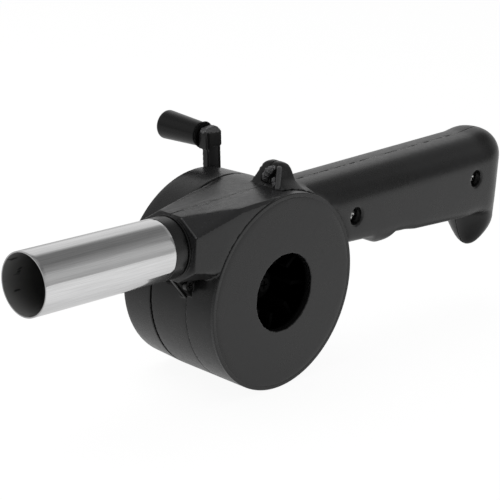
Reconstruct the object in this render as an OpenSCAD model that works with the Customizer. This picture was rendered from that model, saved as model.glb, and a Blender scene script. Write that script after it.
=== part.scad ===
// Hand crank blower: a round drum with a geared impeller, a metal nozzle tube and a grip.
// Millimetres, +Z up. The origin is the centre of the air inlet, on the intake face.
// +X runs to the grip, -X to the nozzle, and +Y to the crank.

/* [Drum] */
// Outer radius of the drum
drum_r = 42; // [40:0.5:46]
// Radius of the air inlet
inlet_r = 16.6; // [14:0.2:18]
// Wall of the moulded shells
wall = 2.4; // [2:0.1:2.8]
// Thickness of the intake face
front_plate = 2.6; // [2:0.1:3.2]
// Depth of the rim inside the air inlet
inlet_rim = 3.6; // [3.2:0.1:4.2]
// Depth of the near shell, from the intake face to the parting plane
near_depth = 15.4; // [15:0.1:17]
// Depth of the far shell, from the parting plane to the gear cover
far_depth = 19.7; // [19:0.1:22]
// Thickness of the wall between the impeller and the gears
rear_wall = 2.6; // [2:0.1:3]
// Bevel around the intake face
face_bevel = 0.5; // [0.3:0.1:0.8]

/* [Gear cover] */
// Depth of the gear cover
cover_depth = 17.6; // [17.4:0.1:20]
// Thickness of the cover's outer face
cover_plate = 2.6; // [2:0.1:3.2]
// How much smaller the cover's radius is at its outer face
cover_draft = 0.7; // [0.3:0.1:1.2]
// Radius of the cover's outer edge
cover_round = 1.2; // [0.6:0.1:2]
// Width of the shadow gap in front of the cover
shadow_gap = 0.7; // [0.4:0.1:1]
// Depth of the shadow gap
shadow_depth = 1.1; // [0.6:0.1:1.4]

/* [Duct and nozzle] */
// How far the duct's end face stands out from the drum
duct_out = 11.2; // [10:0.1:18]
// Half of the duct's height at its end face
duct_half_h = 13.4; // [13.2:0.1:14]
// Width of the long bevels at the duct's end face
duct_bevel_w = 9.3; // [7:0.1:10]
// Height of the long bevels at the duct's end face
duct_bevel_h = 6.4; // [5:0.1:7]
// Distance of the nozzle's axis below the drum's top
tube_drop = 15.9; // [15:0.1:17]
// Outer radius of the nozzle tube
tube_r = 12.5; // [11.8:0.1:12.8]
// Wall of the nozzle tube
tube_wall = 0.6; // [0.4:0.1:0.9]
// Length of the nozzle tube
tube_l = 65.4; // [50:0.5:90]
// Length of the collar between the duct and the tube
collar_l = 8; // [6:0.1:9]
// Length of the spigot inside the tube
spigot_l = 13; // [8:0.5:18]
// Width of the groove behind the collar
groove_w = 1.3; // [1:0.1:1.6]

/* [Grip] */
// Length of the grip, from the drum's edge to its rear end
grip_l = 114.1; // [110:0.1:128]
// Distance of the grip's top line below the drum's top, at the drum's edge
grip_low = 0; // [0:0.1:1]
// Height of the grip at the drum's edge
grip_h = 29.4; // [28:0.1:31]
// Rise of the grip's top line, in degrees
grip_rise = 1.7; // [0.5:0.1:2.5]
// Fall of the grip's underside, in degrees
grip_fall = 2.4; // [1:0.1:3.5]
// Radius of the grip's top shoulders
shoulder_r = 12; // [9:0.1:13]
// Radius of the grip's lower edges
under_r = 4; // [3:0.1:5]
// Distance from the grip's rear end to the middle of the hook
hook_in = 7.5; // [6.5:0.1:12]
// How far the hook reaches below the grip's underside
hook_drop = 19.9; // [17:0.1:23]
// Radius of the hook's tip
hook_r = 4.4; // [3.6:0.1:5.4]
// Distance from the drum's edge to the middle of the finger bump
bump_out = 24; // [19:0.5:28]
// Radius of the finger bump
bump_r = 7.5; // [7:0.1:12]
// How far the finger bump stands below the grip
bump_drop = 4.2; // [3.5:0.1:6]

/* [Gears] */
// Teeth of the gear on the crank shaft
drive_teeth = 48; // [44:1:50]
// Teeth of the idler's small gear
idler_small_teeth = 12; // [12:1:14]
// Teeth of the idler's large gear
idler_large_teeth = 40; // [36:1:42]
// Teeth of the gear on the fan shaft
fan_teeth = 12; // [12:1:14]
// Face width of the fan's gear pair
fan_face = 5; // [4.5:0.1:5.4]
// Face width of the crank's gear pair
crank_face = 5.2; // [4.5:0.1:5.6]
// Pressure angle, in degrees
pressure = 25; // [24:0.5:27]
// Play on each tooth flank
flank_play = 0.07; // [0.05:0.01:0.12]

/* [Impeller] */
// Gap between the impeller and the chamber's wall
impeller_gap = 5.6; // [3:0.1:8]
// Number of blades
blades = 8; // [6:1:12]
// Thickness of a blade
blade_t = 1.5; // [1:0.1:2]
// Radius at which the blades begin
blade_inner_r = 11; // [9:0.5:15]
// Thickness of the impeller's back plate
back_plate = 1.8; // [1.4:0.1:2.4]
// Radius of the impeller's hub
hub_r = 6; // [5:0.1:7]

/* [Shafts] */
// Radius of the fan shaft
fan_shaft_r = 2; // [1.8:0.1:2.4]
// Radius of the idler axle
axle_r = 1.75; // [1.5:0.05:2]
// Radius of the crank shaft
crank_shaft_r = 3; // [2.6:0.1:3.4]
// Wall of the bushes
bush_wall = 1.2; // [0.9:0.1:1.5]
// Radial play of every running fit
running = 0.05; // [0.03:0.01:0.08]

/* [Crank] */
// Length of the crank arm, from shaft to knob
arm_l = 56.1; // [48:0.1:64]
// Lean of the arm from upright at rest, in degrees
arm_lean = 6.5; // [0:0.1:12]
// Width of the arm
arm_w = 8.1; // [7:0.1:9]
// Thickness of the arm
arm_t = 2.9; // [2.4:0.1:3.4]
// Thickness of the rims along the arm's open channel
arm_rim = 1.3; // [1:0.1:1.6]
// Thickness of the block that holds the knob
block_t = 4.3; // [4:0.1:7]
// The knob's distance from the arm's middle line
knob_off = 0.9; // [0:0.1:1.4]
// Length of the knob
knob_l = 21.6; // [16:0.1:28]
// Radius of the knob at the arm
knob_r_in = 5.6; // [4.8:0.1:6]
// Radius of the knob at its free end
knob_r_out = 6.3; // [5.6:0.1:7.4]
// Radius of the ring between the knob and the arm
ring_r = 5.8; // [5.3:0.1:6.4]
// Thickness of the ring
ring_t = 1.7; // [1.2:0.1:2]
// Radius of the knob's pin
pin_r = 2; // [1.7:0.1:2.3]

/* [Screws] */
// Radius of the shell screws' shanks
screw_r = 1.45; // [1.2:0.05:1.7]
// Radius of the shell screws' heads
head_r = 3.1; // [2.8:0.1:3.3]
// Height of the shell screws' heads
head_h = 2.2; // [1.8:0.1:2.6]
// Radius of the screw wells in the grip
well_r = 3.6; // [3.4:0.1:4]
// Depth of the screw seats below the grip's side
seat_depth = 6.8; // [6:0.1:8]
// Distance from the drum's edge to the front grip screw
front_screw_out = 1.7; // [1.5:0.1:18]
// Height of the front grip screw above the grip's underside
front_screw_up = 12; // [10:0.1:16]
// Distance from the grip's rear end to the rear grip screw
rear_screw_in = 26.8; // [20:0.1:50]
// Height of the rear grip screw above the grip's underside at the drum's edge
rear_screw_up = 14.4; // [10:0.1:20]

/* [Hidden] */
$fn = 72;

// Overrun of every cut
over = 1;
// Play between pieces that stand still against each other
play = 0.02;
// Gap beside everything that turns
turn_gap = 0.3;
// Gap between the spigot and the tube
slip = 0.05;
// Slice that a swept duct section is hulled from
slice = 0.4;
// Steps in a quarter round of a moulded outline
round_steps = 9;

black = [0.07, 0.07, 0.075];
dark = [0.11, 0.11, 0.12];
nylon = [0.86, 0.85, 0.80];
steel = [0.72, 0.73, 0.75];
brass = [0.72, 0.58, 0.30];

// Stations along the drum's axis
far_y = near_depth + far_depth;
cover_y = far_y + cover_depth;
chamber_y = far_y - rear_wall;
chamber_r = drum_r - wall;
grip_w = 2 * near_depth;

// Stations across and along it
duct_x = drum_r + duct_out;
tube_z = drum_r - tube_drop;
grip_x = drum_r + grip_l;
grip_top = drum_r - grip_low;
grip_under = grip_top - grip_h;
hook_x = grip_x - hook_in;
bump_x = drum_r + bump_out;

// Draws a flat outline between two stations of Y, with the outline's second axis up
module slab(y_from, y_to) {
    translate([0, y_to, 0]) rotate([90, 0, 0]) linear_extrude(y_to - y_from) children();
}

// Draws a flat section between two stations of X, with the section's axes along Y and Z
module beam(x_from, x_to) {
    translate([x_from, 0, 0]) rotate([90, 0, 90]) linear_extrude(x_to - x_from) children();
}

// Stands a round bar along Y, at a place given by X and Z
module bar(place, y_from, y_to, r) {
    translate([place[0], y_from, place[1]]) rotate([-90, 0, 0]) cylinder(h = y_to - y_from, r = r);
}

// Stands a round bar along X, on the nozzle's axis
module nozzle_bar(x_from, x_to, r) {
    translate([x_from, near_depth, tube_z]) rotate([0, 90, 0]) cylinder(h = x_to - x_from, r = r);
}

// Turns an outline of radius and Y about an axis along Y
module turned(place, outline) {
    translate([place[0], 0, place[1]]) rotate([-90, 0, 0]) rotate_extrude() polygon(outline);
}

// Points along an arc, from one angle to another
function arc(centre, r, from, to, steps) = [
    for (i = [0 : steps])
        let (a = from + (to - from) * i / steps)
        [centre[0] + r * cos(a), centre[1] + r * sin(a)]
];

// A pan head screw along Y: its seat, the end of its shank, and the sense from head to tip
module screw(place, seat, tip, shank, head, height) {
    back = tip > seat ? -height : height;
    difference() {
        union() {
            bar(place, min(seat, tip), max(seat, tip), shank);
            bar(place, min(seat, seat + back), max(seat, seat + back), head);
        }
        cross_slot(place, seat + back, height, head);
    }
}

// The cross recess in a screw's head
slot_w_share = 0.24;
slot_l_share = 1.2;
slot_depth_share = 0.5;
module cross_slot(place, face, height, head) {
    deep = 2 * height * slot_depth_share;
    for (turn = [0, 90])
        translate([place[0], face, place[1]]) rotate([0, turn, 0])
            cube([head * slot_l_share, deep, head * slot_w_share], center = true);
}

// Heights of the grip's top and underside
grip_start_x = drum_r / 8;
function top_z(x) = grip_top + (x - drum_r) * tan(grip_rise);
function under_z(x) = grip_under - (x - drum_r) * tan(grip_fall);

// A section across the grip, moved in by the given wall
module grip_section(in, low, high, lower_r, upper_r) {
    polygon(concat(
        arc([lower_r, low + lower_r], lower_r - in, 270, 180, round_steps),
        arc([upper_r, high - upper_r], upper_r - in, 180, 90, round_steps),
        arc([grip_w - upper_r, high - upper_r], upper_r - in, 90, 0, round_steps),
        arc([grip_w - lower_r, low + lower_r], lower_r - in, 0, -90, round_steps)
    ));
}

// The grip's straight body with its half round rear end, moved in by the given wall
end_x = grip_x - near_depth;
end_steps = 48;
module grip_core(in) {
    low = under_z(end_x);
    high = top_z(end_x);
    hull() {
        beam(grip_start_x, grip_start_x + slice)
            grip_section(in, under_z(grip_start_x), top_z(grip_start_x), under_r, shoulder_r);
        translate([end_x, near_depth, 0]) rotate_extrude($fn = end_steps) polygon(concat(
            [[0, low + in]],
            arc([near_depth - under_r, low + under_r], under_r - in, -90, 0, round_steps),
            arc([near_depth - shoulder_r, high - shoulder_r], shoulder_r - in, 0, 90, round_steps),
            [[0, high - in]]
        ));
    }
}

// The domed hook at the rear, turned about an upright line and moved in by the given wall
hook_steps = 10;
hook_inset = 0.15;
module hook_form(in) {
    reach = near_depth - in;
    intersection() {
        translate([hook_x, near_depth, under_z(hook_x) - hook_drop + in]) rotate_extrude() polygon(concat(
            [for (i = [0 : hook_steps])
                let (r = reach * i / hook_steps)
                [r, r * r / hook_r / 2]],
            [[0, reach * reach / hook_r / 2]]
        ));
        translate([end_x, near_depth, -drum_r]) cylinder(h = 2 * drum_r, r = reach - hook_inset);
    }
}

// The finger bump under the grip
module bump_form() {
    low = under_z(bump_x) - bump_drop;
    intersection() {
        bar([bump_x, low + bump_r], 0, grip_w, bump_r);
        beam(0, grip_x) grip_section(0, low, grip_top, 2 * under_r, shoulder_r);
    }
}

// The hollows in the grip and in its hooked end
module grip_hollow() {
    difference() {
        grip_core(wall);
        bar([0, 0], -over, far_y + over, drum_r);
    }
    hook_form(wall);
}

// The duct's solid: an eight sided end section that spreads to the drum's full width
mid_share = 0.53;
mid_top_share = 0.48;
root_x = -drum_r / 20;
mid_x = -duct_x * mid_share;
duct_top = tube_z + duct_half_h;
duct_low = tube_z - duct_half_h;
module duct_section(x, near, far, low, high, near_bevel, far_bevel) {
    beam(x, x + slice) polygon([
        [near, low + near_bevel[2]], [near, high - near_bevel[1]], [near + near_bevel[0], high],
        [far - far_bevel[0], high], [far, high - far_bevel[1]], [far, low + far_bevel[2]],
        [far - far_bevel[0], low], [near + near_bevel[0], low]
    ]);
}
duct_bevel = [duct_bevel_w, duct_bevel_h, duct_bevel_h];
near_mid_bevel = [duct_bevel_w / 8, duct_bevel_h / 4, duct_bevel_h];
far_mid_bevel = [duct_bevel_w / 2, duct_bevel_h / 2, duct_bevel_h];
root_bevel = [face_bevel, face_bevel, face_bevel];
mid_top = duct_top + (drum_r - duct_top) * mid_top_share;
module duct_form() {
    hull() {
        duct_section(-duct_x, face_bevel, grip_w, duct_low, duct_top, duct_bevel, duct_bevel);
        duct_section(mid_x, face_bevel, grip_w + wall, duct_low, mid_top, near_mid_bevel, far_mid_bevel);
        duct_section(root_x, face_bevel, far_y, duct_low, drum_r - slice / 4, root_bevel, root_bevel);
    }
}

// The passage in the duct, from the chamber to the spigot's bore
bore_r = tube_r - tube_wall - slip - wall / 2;
passage_x = chamber_r / 2;
passage_top_share = 0.9;
module duct_passage() {
    hull() {
        nozzle_bar(-duct_x + wall / 2, -duct_x + wall, bore_r);
        duct_section(-passage_x, front_plate, chamber_y, duct_low + wall,
            chamber_r * passage_top_share, root_bevel, root_bevel);
    }
    nozzle_bar(-duct_x - collar_l - spigot_l - over, -duct_x + wall, bore_r);
}

// The collar, the groove and the low pad behind it, and the spigot that the tube slides on
collar_x = -duct_x - collar_l;
spigot_r = tube_r - tube_wall - slip;
pad_t = 0.5;
pad_out = 0.3;
module collar() {
    nozzle_bar(-duct_x - pad_t, -duct_x + wall, tube_r + pad_out);
    nozzle_bar(collar_x, -duct_x - groove_w, tube_r);
    nozzle_bar(-duct_x - groove_w - over, -duct_x + wall, spigot_r - slip);
    nozzle_bar(collar_x - spigot_l, collar_x + wall, spigot_r);
}

// The lug on top of the drum, with its open pocket towards the nozzle
lug_x = 6.8;
lug_base = 16;
lug_top = 7;
lug_deep = 16.4;
lug_top_deep = 9.4;
lug_h = 8.5;
lug_round = 2.8;
lug_lean = 14;
module lug_outline(base, top) {
    peak = drum_r + lug_h;
    polygon(concat(
        [[base / 2, drum_r - wall]],
        arc([top / 2 - lug_round, peak - lug_round], lug_round, lug_lean, 90, round_steps),
        arc([lug_round - top / 2, peak - lug_round], lug_round, 90, 180 - lug_lean, round_steps),
        [[-base / 2, drum_r - wall]]
    ));
}
module lug_form() {
    intersection() {
        slab(0, grip_w) translate([lug_x, 0]) lug_outline(lug_base, lug_top);
        beam(-drum_r, drum_r) translate([near_depth, 0]) lug_outline(lug_deep, lug_top_deep);
    }
}
pocket_w = 8.2;
pocket_near_share = 0.7;
pocket_h = 5.2;
pocket_base = 1;
pocket_deep = 4;
pocket_x = lug_x - lug_base / 2 + pocket_deep;
module lug_pocket() {
    translate([pocket_x - lug_base, near_depth - pocket_w * pocket_near_share, drum_r + pocket_base])
        cube([lug_base, pocket_w, pocket_h]);
}

// The web under the duct that the lower screw holds
web_t = 2.6;
web_tab_t = 3;
web_h = 11.5;
web_low_z = duct_low - web_h;
web_edge = 0.8;
module web_outline(in) {
    polygon([
        [-duct_x + web_t + in, duct_low + wall], [-duct_x + web_t + in, duct_low - web_edge],
        [-drum_r + over + in, web_low_z + in], [-drum_r + over + in, duct_low + wall]
    ]);
}

// Screw places
front_screw = [drum_r + front_screw_out, grip_under + front_screw_up];
rear_screw = [grip_x - rear_screw_in, grip_under + rear_screw_up];
lug_screw_at = [lug_x, drum_r + lug_h / 2];
web_screw_out = 3.2;
web_screw_down = 3;
web_screw_at = [-drum_r - web_screw_out, duct_low - web_screw_down];
small_head_r = 2.2;
small_head_h = 1.8;
small_screw_r = 1.2;
small_well_r = small_head_r + turn_gap;
hole_r = screw_r + slip;
small_hole_r = small_screw_r + slip;
well_bevel = 0.8;
well_wall = 1.7;
grip_tip_y = grip_w - 2 * wall;
lug_seat_depth = 4.4;
lug_seat_y = near_depth + lug_seat_depth;
lug_thread = 3.4;
lug_tip_y = near_depth - lug_thread;
web_seat_y = near_depth - web_tab_t;
web_thread = 5.7;
web_tip_y = near_depth + web_thread;

// The whole moulding's outer form, before it is parted and hollowed
module body_form() {
    turned([0, 0], [[0, 0], [drum_r - face_bevel, 0], [drum_r, face_bevel], [drum_r, far_y], [0, far_y]]);
    duct_form();
    grip_core(0);
    hook_form(0);
    bump_form();
    lug_form();
    collar();
}

// What is hollow inside the moulding
module hollows() {
    bar([0, 0], front_plate, chamber_y, chamber_r);
    duct_passage();
    grip_hollow();
}

// A block that reaches past the whole moulding, between two stations of Y
module half_space(y_from, y_to) {
    reach = grip_x + drum_r;
    translate([-reach, y_from, -reach]) cube([2 * reach, y_to - y_from, 2 * reach]);
}

module near_shell() {
    color(dark) difference() {
        union() {
            difference() {
                intersection() {
                    body_form();
                    half_space(-over, near_depth);
                }
                hollows();
            }
            bar([0, 0], front_plate / 2, inlet_rim, inlet_r + wall);
            slab(web_seat_y, near_depth) web_outline(web_edge);
            for (place = [front_screw, rear_screw])
                bar(place, front_plate / 2, near_depth, well_r + well_wall);
        }
        bar([0, 0], -over, inlet_rim + over, inlet_r);
        bar([0, 0], inlet_rim, chamber_y, chamber_r - wall);
        for (place = [front_screw, rear_screw]) {
            turned(place, [
                [0, -over], [well_r + well_bevel, -over], [well_r + well_bevel, 0],
                [well_r, well_bevel], [well_r, seat_depth], [0, seat_depth]
            ]);
            bar(place, seat_depth - over, near_depth + over, hole_r);
        }
        bar(lug_screw_at, lug_tip_y - slip, near_depth + over, small_hole_r);
        bar(web_screw_at, web_seat_y - over, near_depth + over, small_hole_r);
        lug_pocket();
    }
}

// Gear train: modules, places of the shafts and stations along them
crank_module_share = 3 / 140;
fan_module_share = 1 / 56;
crank_x_share = 8 / 21;
crank_z_share = 1 / 14;
crank_module = drum_r * crank_module_share;
fan_module = drum_r * fan_module_share;
crank_x = drum_r * crank_x_share;
crank_z = -drum_r * crank_z_share;
fan_pair = fan_module * (fan_teeth + idler_large_teeth) / 2;
crank_pair = crank_module * (drive_teeth + idler_small_teeth) / 2;
crank_at = [crank_x, crank_z];
crank_away = norm(crank_at);
idler_angle = atan2(crank_z, crank_x)
    + acos((fan_pair ^ 2 + crank_away ^ 2 - crank_pair ^ 2) / (2 * fan_pair * crank_away));
idler_at = [fan_pair * cos(idler_angle), fan_pair * sin(idler_angle)];
boss_out = 1.6;
washer_t = 0.5;
fan_boss_y = chamber_y - boss_out;
gear_y = far_y + boss_out + washer_t + turn_gap / 2;
gear_space = 1.1;
drive_y = gear_y + fan_face + gear_space;
idler_end_y = drive_y + crank_face + turn_gap;
cover_in_y = cover_y - cover_plate;
crank_boss_out = 5;
cover_boss_out = 0.4;
crank_boss_in = 0.9;
drive_hub_r = 6;
drive_hub_y = far_y + crank_boss_out + turn_gap;
drive_hub_end = cover_in_y - crank_boss_in - turn_gap;
fan_bush_r = fan_shaft_r + running + bush_wall;
crank_bush_r = crank_shaft_r + running + bush_wall;
axle_sink = 1.9;
axle_cover = 1;
axle_hole_y = far_y - axle_sink;
axle_end_y = cover_y - axle_cover;

// Cover screws
cover_post_r = 3.6;
cover_post_in = 1.2;
cover_ring = chamber_r - cover_post_r - cover_post_in;
cover_screw_count = 3;
cover_screw_turn = 48;
cover_post_out = 4;
cover_head_r = 2.5;
cover_well_r = cover_head_r + turn_gap / 2;
cover_seat_depth = 5;
cover_seat_y = cover_y - cover_seat_depth;
cover_tip_in = 1;
cover_tip_y = far_y - cover_tip_in;
cover_screw_places = [
    for (i = [0 : cover_screw_count - 1])
        let (a = cover_screw_turn + i * 360 / cover_screw_count)
        [cover_ring * cos(a), cover_ring * sin(a)]
];
register_h = 1.5;
register_w = 1.3;

module far_shell() {
    color(dark) difference() {
        union() {
            difference() {
                intersection() {
                    body_form();
                    half_space(near_depth, far_y);
                }
                hollows();
            }
            slab(near_depth, near_depth + web_t) web_outline(0);
            bar(web_screw_at, near_depth, web_tip_y + wall / 2, small_screw_r + wall / 2);
            for (place = [front_screw, rear_screw])
                bar(place, near_depth, grip_w - wall / 2, screw_r + wall);
            bar([0, 0], fan_boss_y, far_y + boss_out, fan_bush_r + wall / 2);
            bar(idler_at, far_y - over, far_y + boss_out, axle_r + wall);
            bar(crank_at, far_y - over, far_y + crank_boss_out, crank_bush_r + wall / 2);
            for (place = cover_screw_places)
                bar(place, far_y - over, far_y + cover_post_out, cover_post_r);
            register_ring();
        }
        bar([0, 0], fan_boss_y - over, far_y + boss_out + over, fan_bush_r + play);
        bar(idler_at, axle_hole_y, far_y + boss_out + over, axle_r + play);
        bar(crank_at, far_y, far_y + crank_boss_out + over, crank_bush_r + play);
        for (place = cover_screw_places)
            bar(place, cover_tip_y - slip, far_y + cover_post_out + over, screw_r + slip);
        for (place = [front_screw, rear_screw])
            bar(place, near_depth - over, grip_tip_y + slip, hole_r);
        bar(lug_screw_at, near_depth - over, lug_seat_y + over, small_hole_r);
        bar(lug_screw_at, lug_seat_y, grip_w, small_well_r);
        bar(web_screw_at, near_depth - over, web_tip_y + slip, small_hole_r);
        lug_pocket();
    }
}

// The raised ring that centres the gear cover
module register_ring() {
    outer = chamber_r - turn_gap;
    difference() {
        bar([0, 0], far_y - over, far_y + register_h, outer);
        bar([0, 0], far_y - 2 * over, far_y + register_h + over, outer - register_w);
    }
}

module gear_cover() {
    rim = drum_r - cover_draft;
    color(black) difference() {
        union() {
            turned([0, 0], concat(
                [[0, cover_in_y], [chamber_r, cover_in_y], [chamber_r, far_y]],
                [[drum_r - shadow_depth, far_y], [drum_r - shadow_depth, far_y + shadow_gap]],
                [[drum_r, far_y + shadow_gap]],
                arc([rim - cover_round, cover_y - cover_round], cover_round, 0, 90, round_steps),
                [[0, cover_y]]
            ));
            bar(crank_at, cover_in_y - crank_boss_in, cover_y + cover_boss_out, crank_bush_r + wall);
            bar(idler_at, idler_end_y + washer_t + turn_gap / 2, cover_in_y + over, axle_r + wall);
            for (place = cover_screw_places)
                bar(place, far_y + cover_post_out, cover_in_y + over, cover_post_r);
        }
        bar(crank_at, far_y, cover_y + cover_boss_out + over, crank_bush_r + play);
        bar(idler_at, far_y, axle_end_y + play, axle_r + play);
        for (place = cover_screw_places) {
            bar(place, far_y, cover_seat_y + over, screw_r + slip);
            bar(place, cover_seat_y, cover_y + over, cover_well_r);
        }
    }
}

module nozzle_tube() {
    color(steel) difference() {
        nozzle_bar(collar_x - tube_l, collar_x, tube_r);
        nozzle_bar(collar_x - tube_l - over, collar_x + over, tube_r - tube_wall);
    }
}

// Impeller: a hub and back plate with swept blades
impeller_r = chamber_r - impeller_gap;
blade_gap = 2.8;
blade_sweep = 34;
blade_steps = 6;
blade_y = inlet_rim + blade_gap;
hub_in = 7;
hub_front_y = blade_y + hub_in;
hub_back_y = fan_boss_y - washer_t - turn_gap / 3;
module blade_outline() {
    function at(i) = blade_inner_r + (impeller_r - blade_inner_r) * i / blade_steps;
    function turn(i) = -blade_sweep * (i / blade_steps) ^ 2;
    function half(i) = blade_t / 2 / at(i) * 180 / PI;
    polygon(concat(
        [for (i = [0 : blade_steps]) at(i) * [cos(turn(i) + half(i)), sin(turn(i) + half(i))]],
        [for (i = [blade_steps : -1 : 0]) at(i) * [cos(turn(i) - half(i)), sin(turn(i) - half(i))]]
    ));
}
module impeller() {
    color(black) difference() {
        union() {
            bar([0, 0], hub_back_y - back_plate, hub_back_y, impeller_r);
            bar([0, 0], hub_front_y, hub_back_y, hub_r);
            for (i = [0 : blades - 1])
                slab(blade_y, hub_back_y - back_plate / 2) rotate(i * 360 / blades) blade_outline();
        }
        bar([0, 0], hub_front_y - over, hub_back_y + over, fan_shaft_r + play);
    }
}

// Fan shaft, drilled at its front end for the impeller's screw
fan_screw_r = 1.1;
fan_screw_l = 11;
fan_head_r = 3;
fan_head_h = 2;
fan_shaft_y = hub_front_y + fan_head_r;
fan_shaft_gap = 0.45;
fan_shaft_end = drive_y - fan_shaft_gap;
module fan_shaft() {
    color(steel) difference() {
        bar([0, 0], fan_shaft_y, fan_shaft_end, fan_shaft_r);
        bar([0, 0], fan_shaft_y - over, hub_front_y + fan_screw_l + play, fan_screw_r + play);
    }
}

// A plain bush or washer: a tube along Y
module sleeve(place, y_from, y_to, outer, inner) {
    difference() {
        bar(place, y_from, y_to, outer);
        bar(place, y_from - over, y_to + over, inner);
    }
}

module fan_bush() {
    color(brass) sleeve([0, 0], fan_boss_y, far_y + boss_out, fan_bush_r, fan_shaft_r + running);
}

module fan_washer() {
    color(nylon) sleeve([0, 0], fan_boss_y - washer_t - play, fan_boss_y - play,
        fan_bush_r + wall / 2, fan_shaft_r + running);
}

module fan_screw() {
    color(steel) screw([0, 0], hub_front_y, hub_front_y + fan_screw_l, fan_screw_r, fan_head_r, fan_head_h);
}

// Gear outline with involute flanks, a tooth centred at the given angle
flank_steps = 4;
tip_share = 1;
root_share = 1.25;
function involute(a) = tan(a) * 180 / PI - a;
module gear_outline(teeth, pitch_module, first) {
    pitch = teeth * pitch_module / 2;
    base = pitch * cos(pressure);
    tip = pitch + tip_share * pitch_module;
    root = pitch - root_share * pitch_module;
    start = max(base, root);
    centre_half = 90 / teeth - flank_play / pitch * 180 / PI + involute(pressure);
    function radius(i) = start + (tip - start) * i / flank_steps;
    function half(r) = centre_half - involute(acos(base / r));
    polygon([
        for (k = [0 : teeth - 1])
            let (
                middle = first + k * 360 / teeth,
                up = [for (i = [0 : flank_steps]) [radius(i), middle - half(radius(i))]],
                down = [for (i = [flank_steps : -1 : 0]) [radius(i), middle + half(radius(i))]],
                foot = root < start ? half(start) : half(start) + 1 / teeth
            )
            each [
                for (p = concat([[root, middle - foot]], up, down, [[root, middle + foot]]))
                    p[0] * [cos(p[1]), sin(p[1])]
            ]
    ]);
}

// Angle at which a gear shows a gap where its neighbour, seen along the given line, shows a tooth
function meshed(line, first, teeth, other) =
    line + 180 - 360 / other * ((first - line) * teeth / 360 + 0.5);
fan_line = atan2(idler_at[1], idler_at[0]);
drive_line = atan2(crank_z - idler_at[1], crank_x - idler_at[0]);
large_first = meshed(fan_line, 0, fan_teeth, idler_large_teeth);
drive_first = meshed(drive_line, 0, idler_small_teeth, drive_teeth);

module gear(place, y_from, y_to, teeth, pitch_module, first) {
    translate([place[0], 0, place[1]]) slab(y_from, y_to) gear_outline(teeth, pitch_module, first);
}

module fan_pinion() {
    color(brass) difference() {
        gear([0, 0], gear_y - turn_gap / 2, gear_y + fan_face, fan_teeth, fan_module, 0);
        bar([0, 0], far_y, drive_y, fan_shaft_r + play);
    }
}

module idler_gear() {
    color(nylon) difference() {
        union() {
            gear(idler_at, gear_y, gear_y + fan_face, idler_large_teeth, fan_module, large_first);
            gear(idler_at, gear_y + fan_face / 2, idler_end_y, idler_small_teeth, crank_module, 0);
        }
        bar(idler_at, far_y, cover_y, axle_r + running);
    }
}

module idler_axle() {
    color(steel) bar(idler_at, axle_hole_y + play, axle_end_y, axle_r);
}

idler_washer_w = 1.9;
module idler_washers() {
    outer = axle_r + idler_washer_w;
    color(nylon) {
        sleeve(idler_at, far_y + boss_out + play, far_y + boss_out + washer_t, outer, axle_r + running);
        sleeve(idler_at, idler_end_y + turn_gap / 2, idler_end_y + turn_gap / 2 + washer_t - play,
            outer, axle_r + running);
    }
}

// Gear on the crank shaft, pinned through its hub
gear_pin_r = 1;
gear_pin_y = (drive_hub_y + drive_y) / 2;
web_cut = 1.4;
module drive_gear() {
    pitch = drive_teeth * crank_module / 2;
    color(nylon) difference() {
        union() {
            gear(crank_at, drive_y, drive_y + crank_face, drive_teeth, crank_module, drive_first);
            bar(crank_at, drive_hub_y, drive_hub_end, drive_hub_r);
        }
        sleeve(crank_at, drive_y + crank_face - web_cut, drive_y + crank_face + over,
            pitch - 2 * wall, drive_hub_r + wall / 2);
        bar(crank_at, far_y, cover_y, crank_shaft_r + play);
        cross_bar(drive_hub_r + over, gear_pin_r + play);
    }
}

// A bar across the crank shaft, at the gear pin's place
module cross_bar(reach, r) {
    translate([crank_x - reach, gear_pin_y, crank_z]) rotate([0, 90, 0]) cylinder(h = 2 * reach, r = r);
}

module gear_pin() {
    color(steel) cross_bar(drive_hub_r - turn_gap, gear_pin_r);
}

// Crank shaft: a round bar with a flat at its outer end and a threaded hole
arm_gap = 0.9;
arm_hub_h = 7;
arm_hub_r = 6.2;
arm_y = cover_y + arm_gap;
flat_share = 0.7;
shaft_y = far_y + turn_gap;
shaft_end_y = arm_y + arm_hub_h - turn_gap;
arm_screw_r = 1.45;
arm_screw_l = 10;
arm_head_r = 4.2;
arm_head_h = 2.4;
module shaft_end(r, y_from, y_to) {
    intersection() {
        bar(crank_at, y_from, y_to, r);
        translate([crank_x - r, y_from, crank_z - r]) cube([2 * r, y_to - y_from, r + r * flat_share]);
    }
}
module crank_shaft() {
    color(steel) difference() {
        union() {
            bar(crank_at, shaft_y, arm_y, crank_shaft_r);
            shaft_end(crank_shaft_r, arm_y - over, shaft_end_y);
        }
        cross_bar(crank_shaft_r + over, gear_pin_r + play);
        bar(crank_at, arm_y + arm_hub_h - arm_screw_l - play, shaft_end_y + over, arm_screw_r + play);
    }
}

module inner_crank_bush() {
    color(brass) sleeve(crank_at, far_y + play, far_y + crank_boss_out, crank_bush_r,
        crank_shaft_r + running);
}

module outer_crank_bush() {
    color(brass) sleeve(crank_at, cover_in_y - crank_boss_in, cover_y + cover_boss_out, crank_bush_r,
        crank_shaft_r + running);
}

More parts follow.
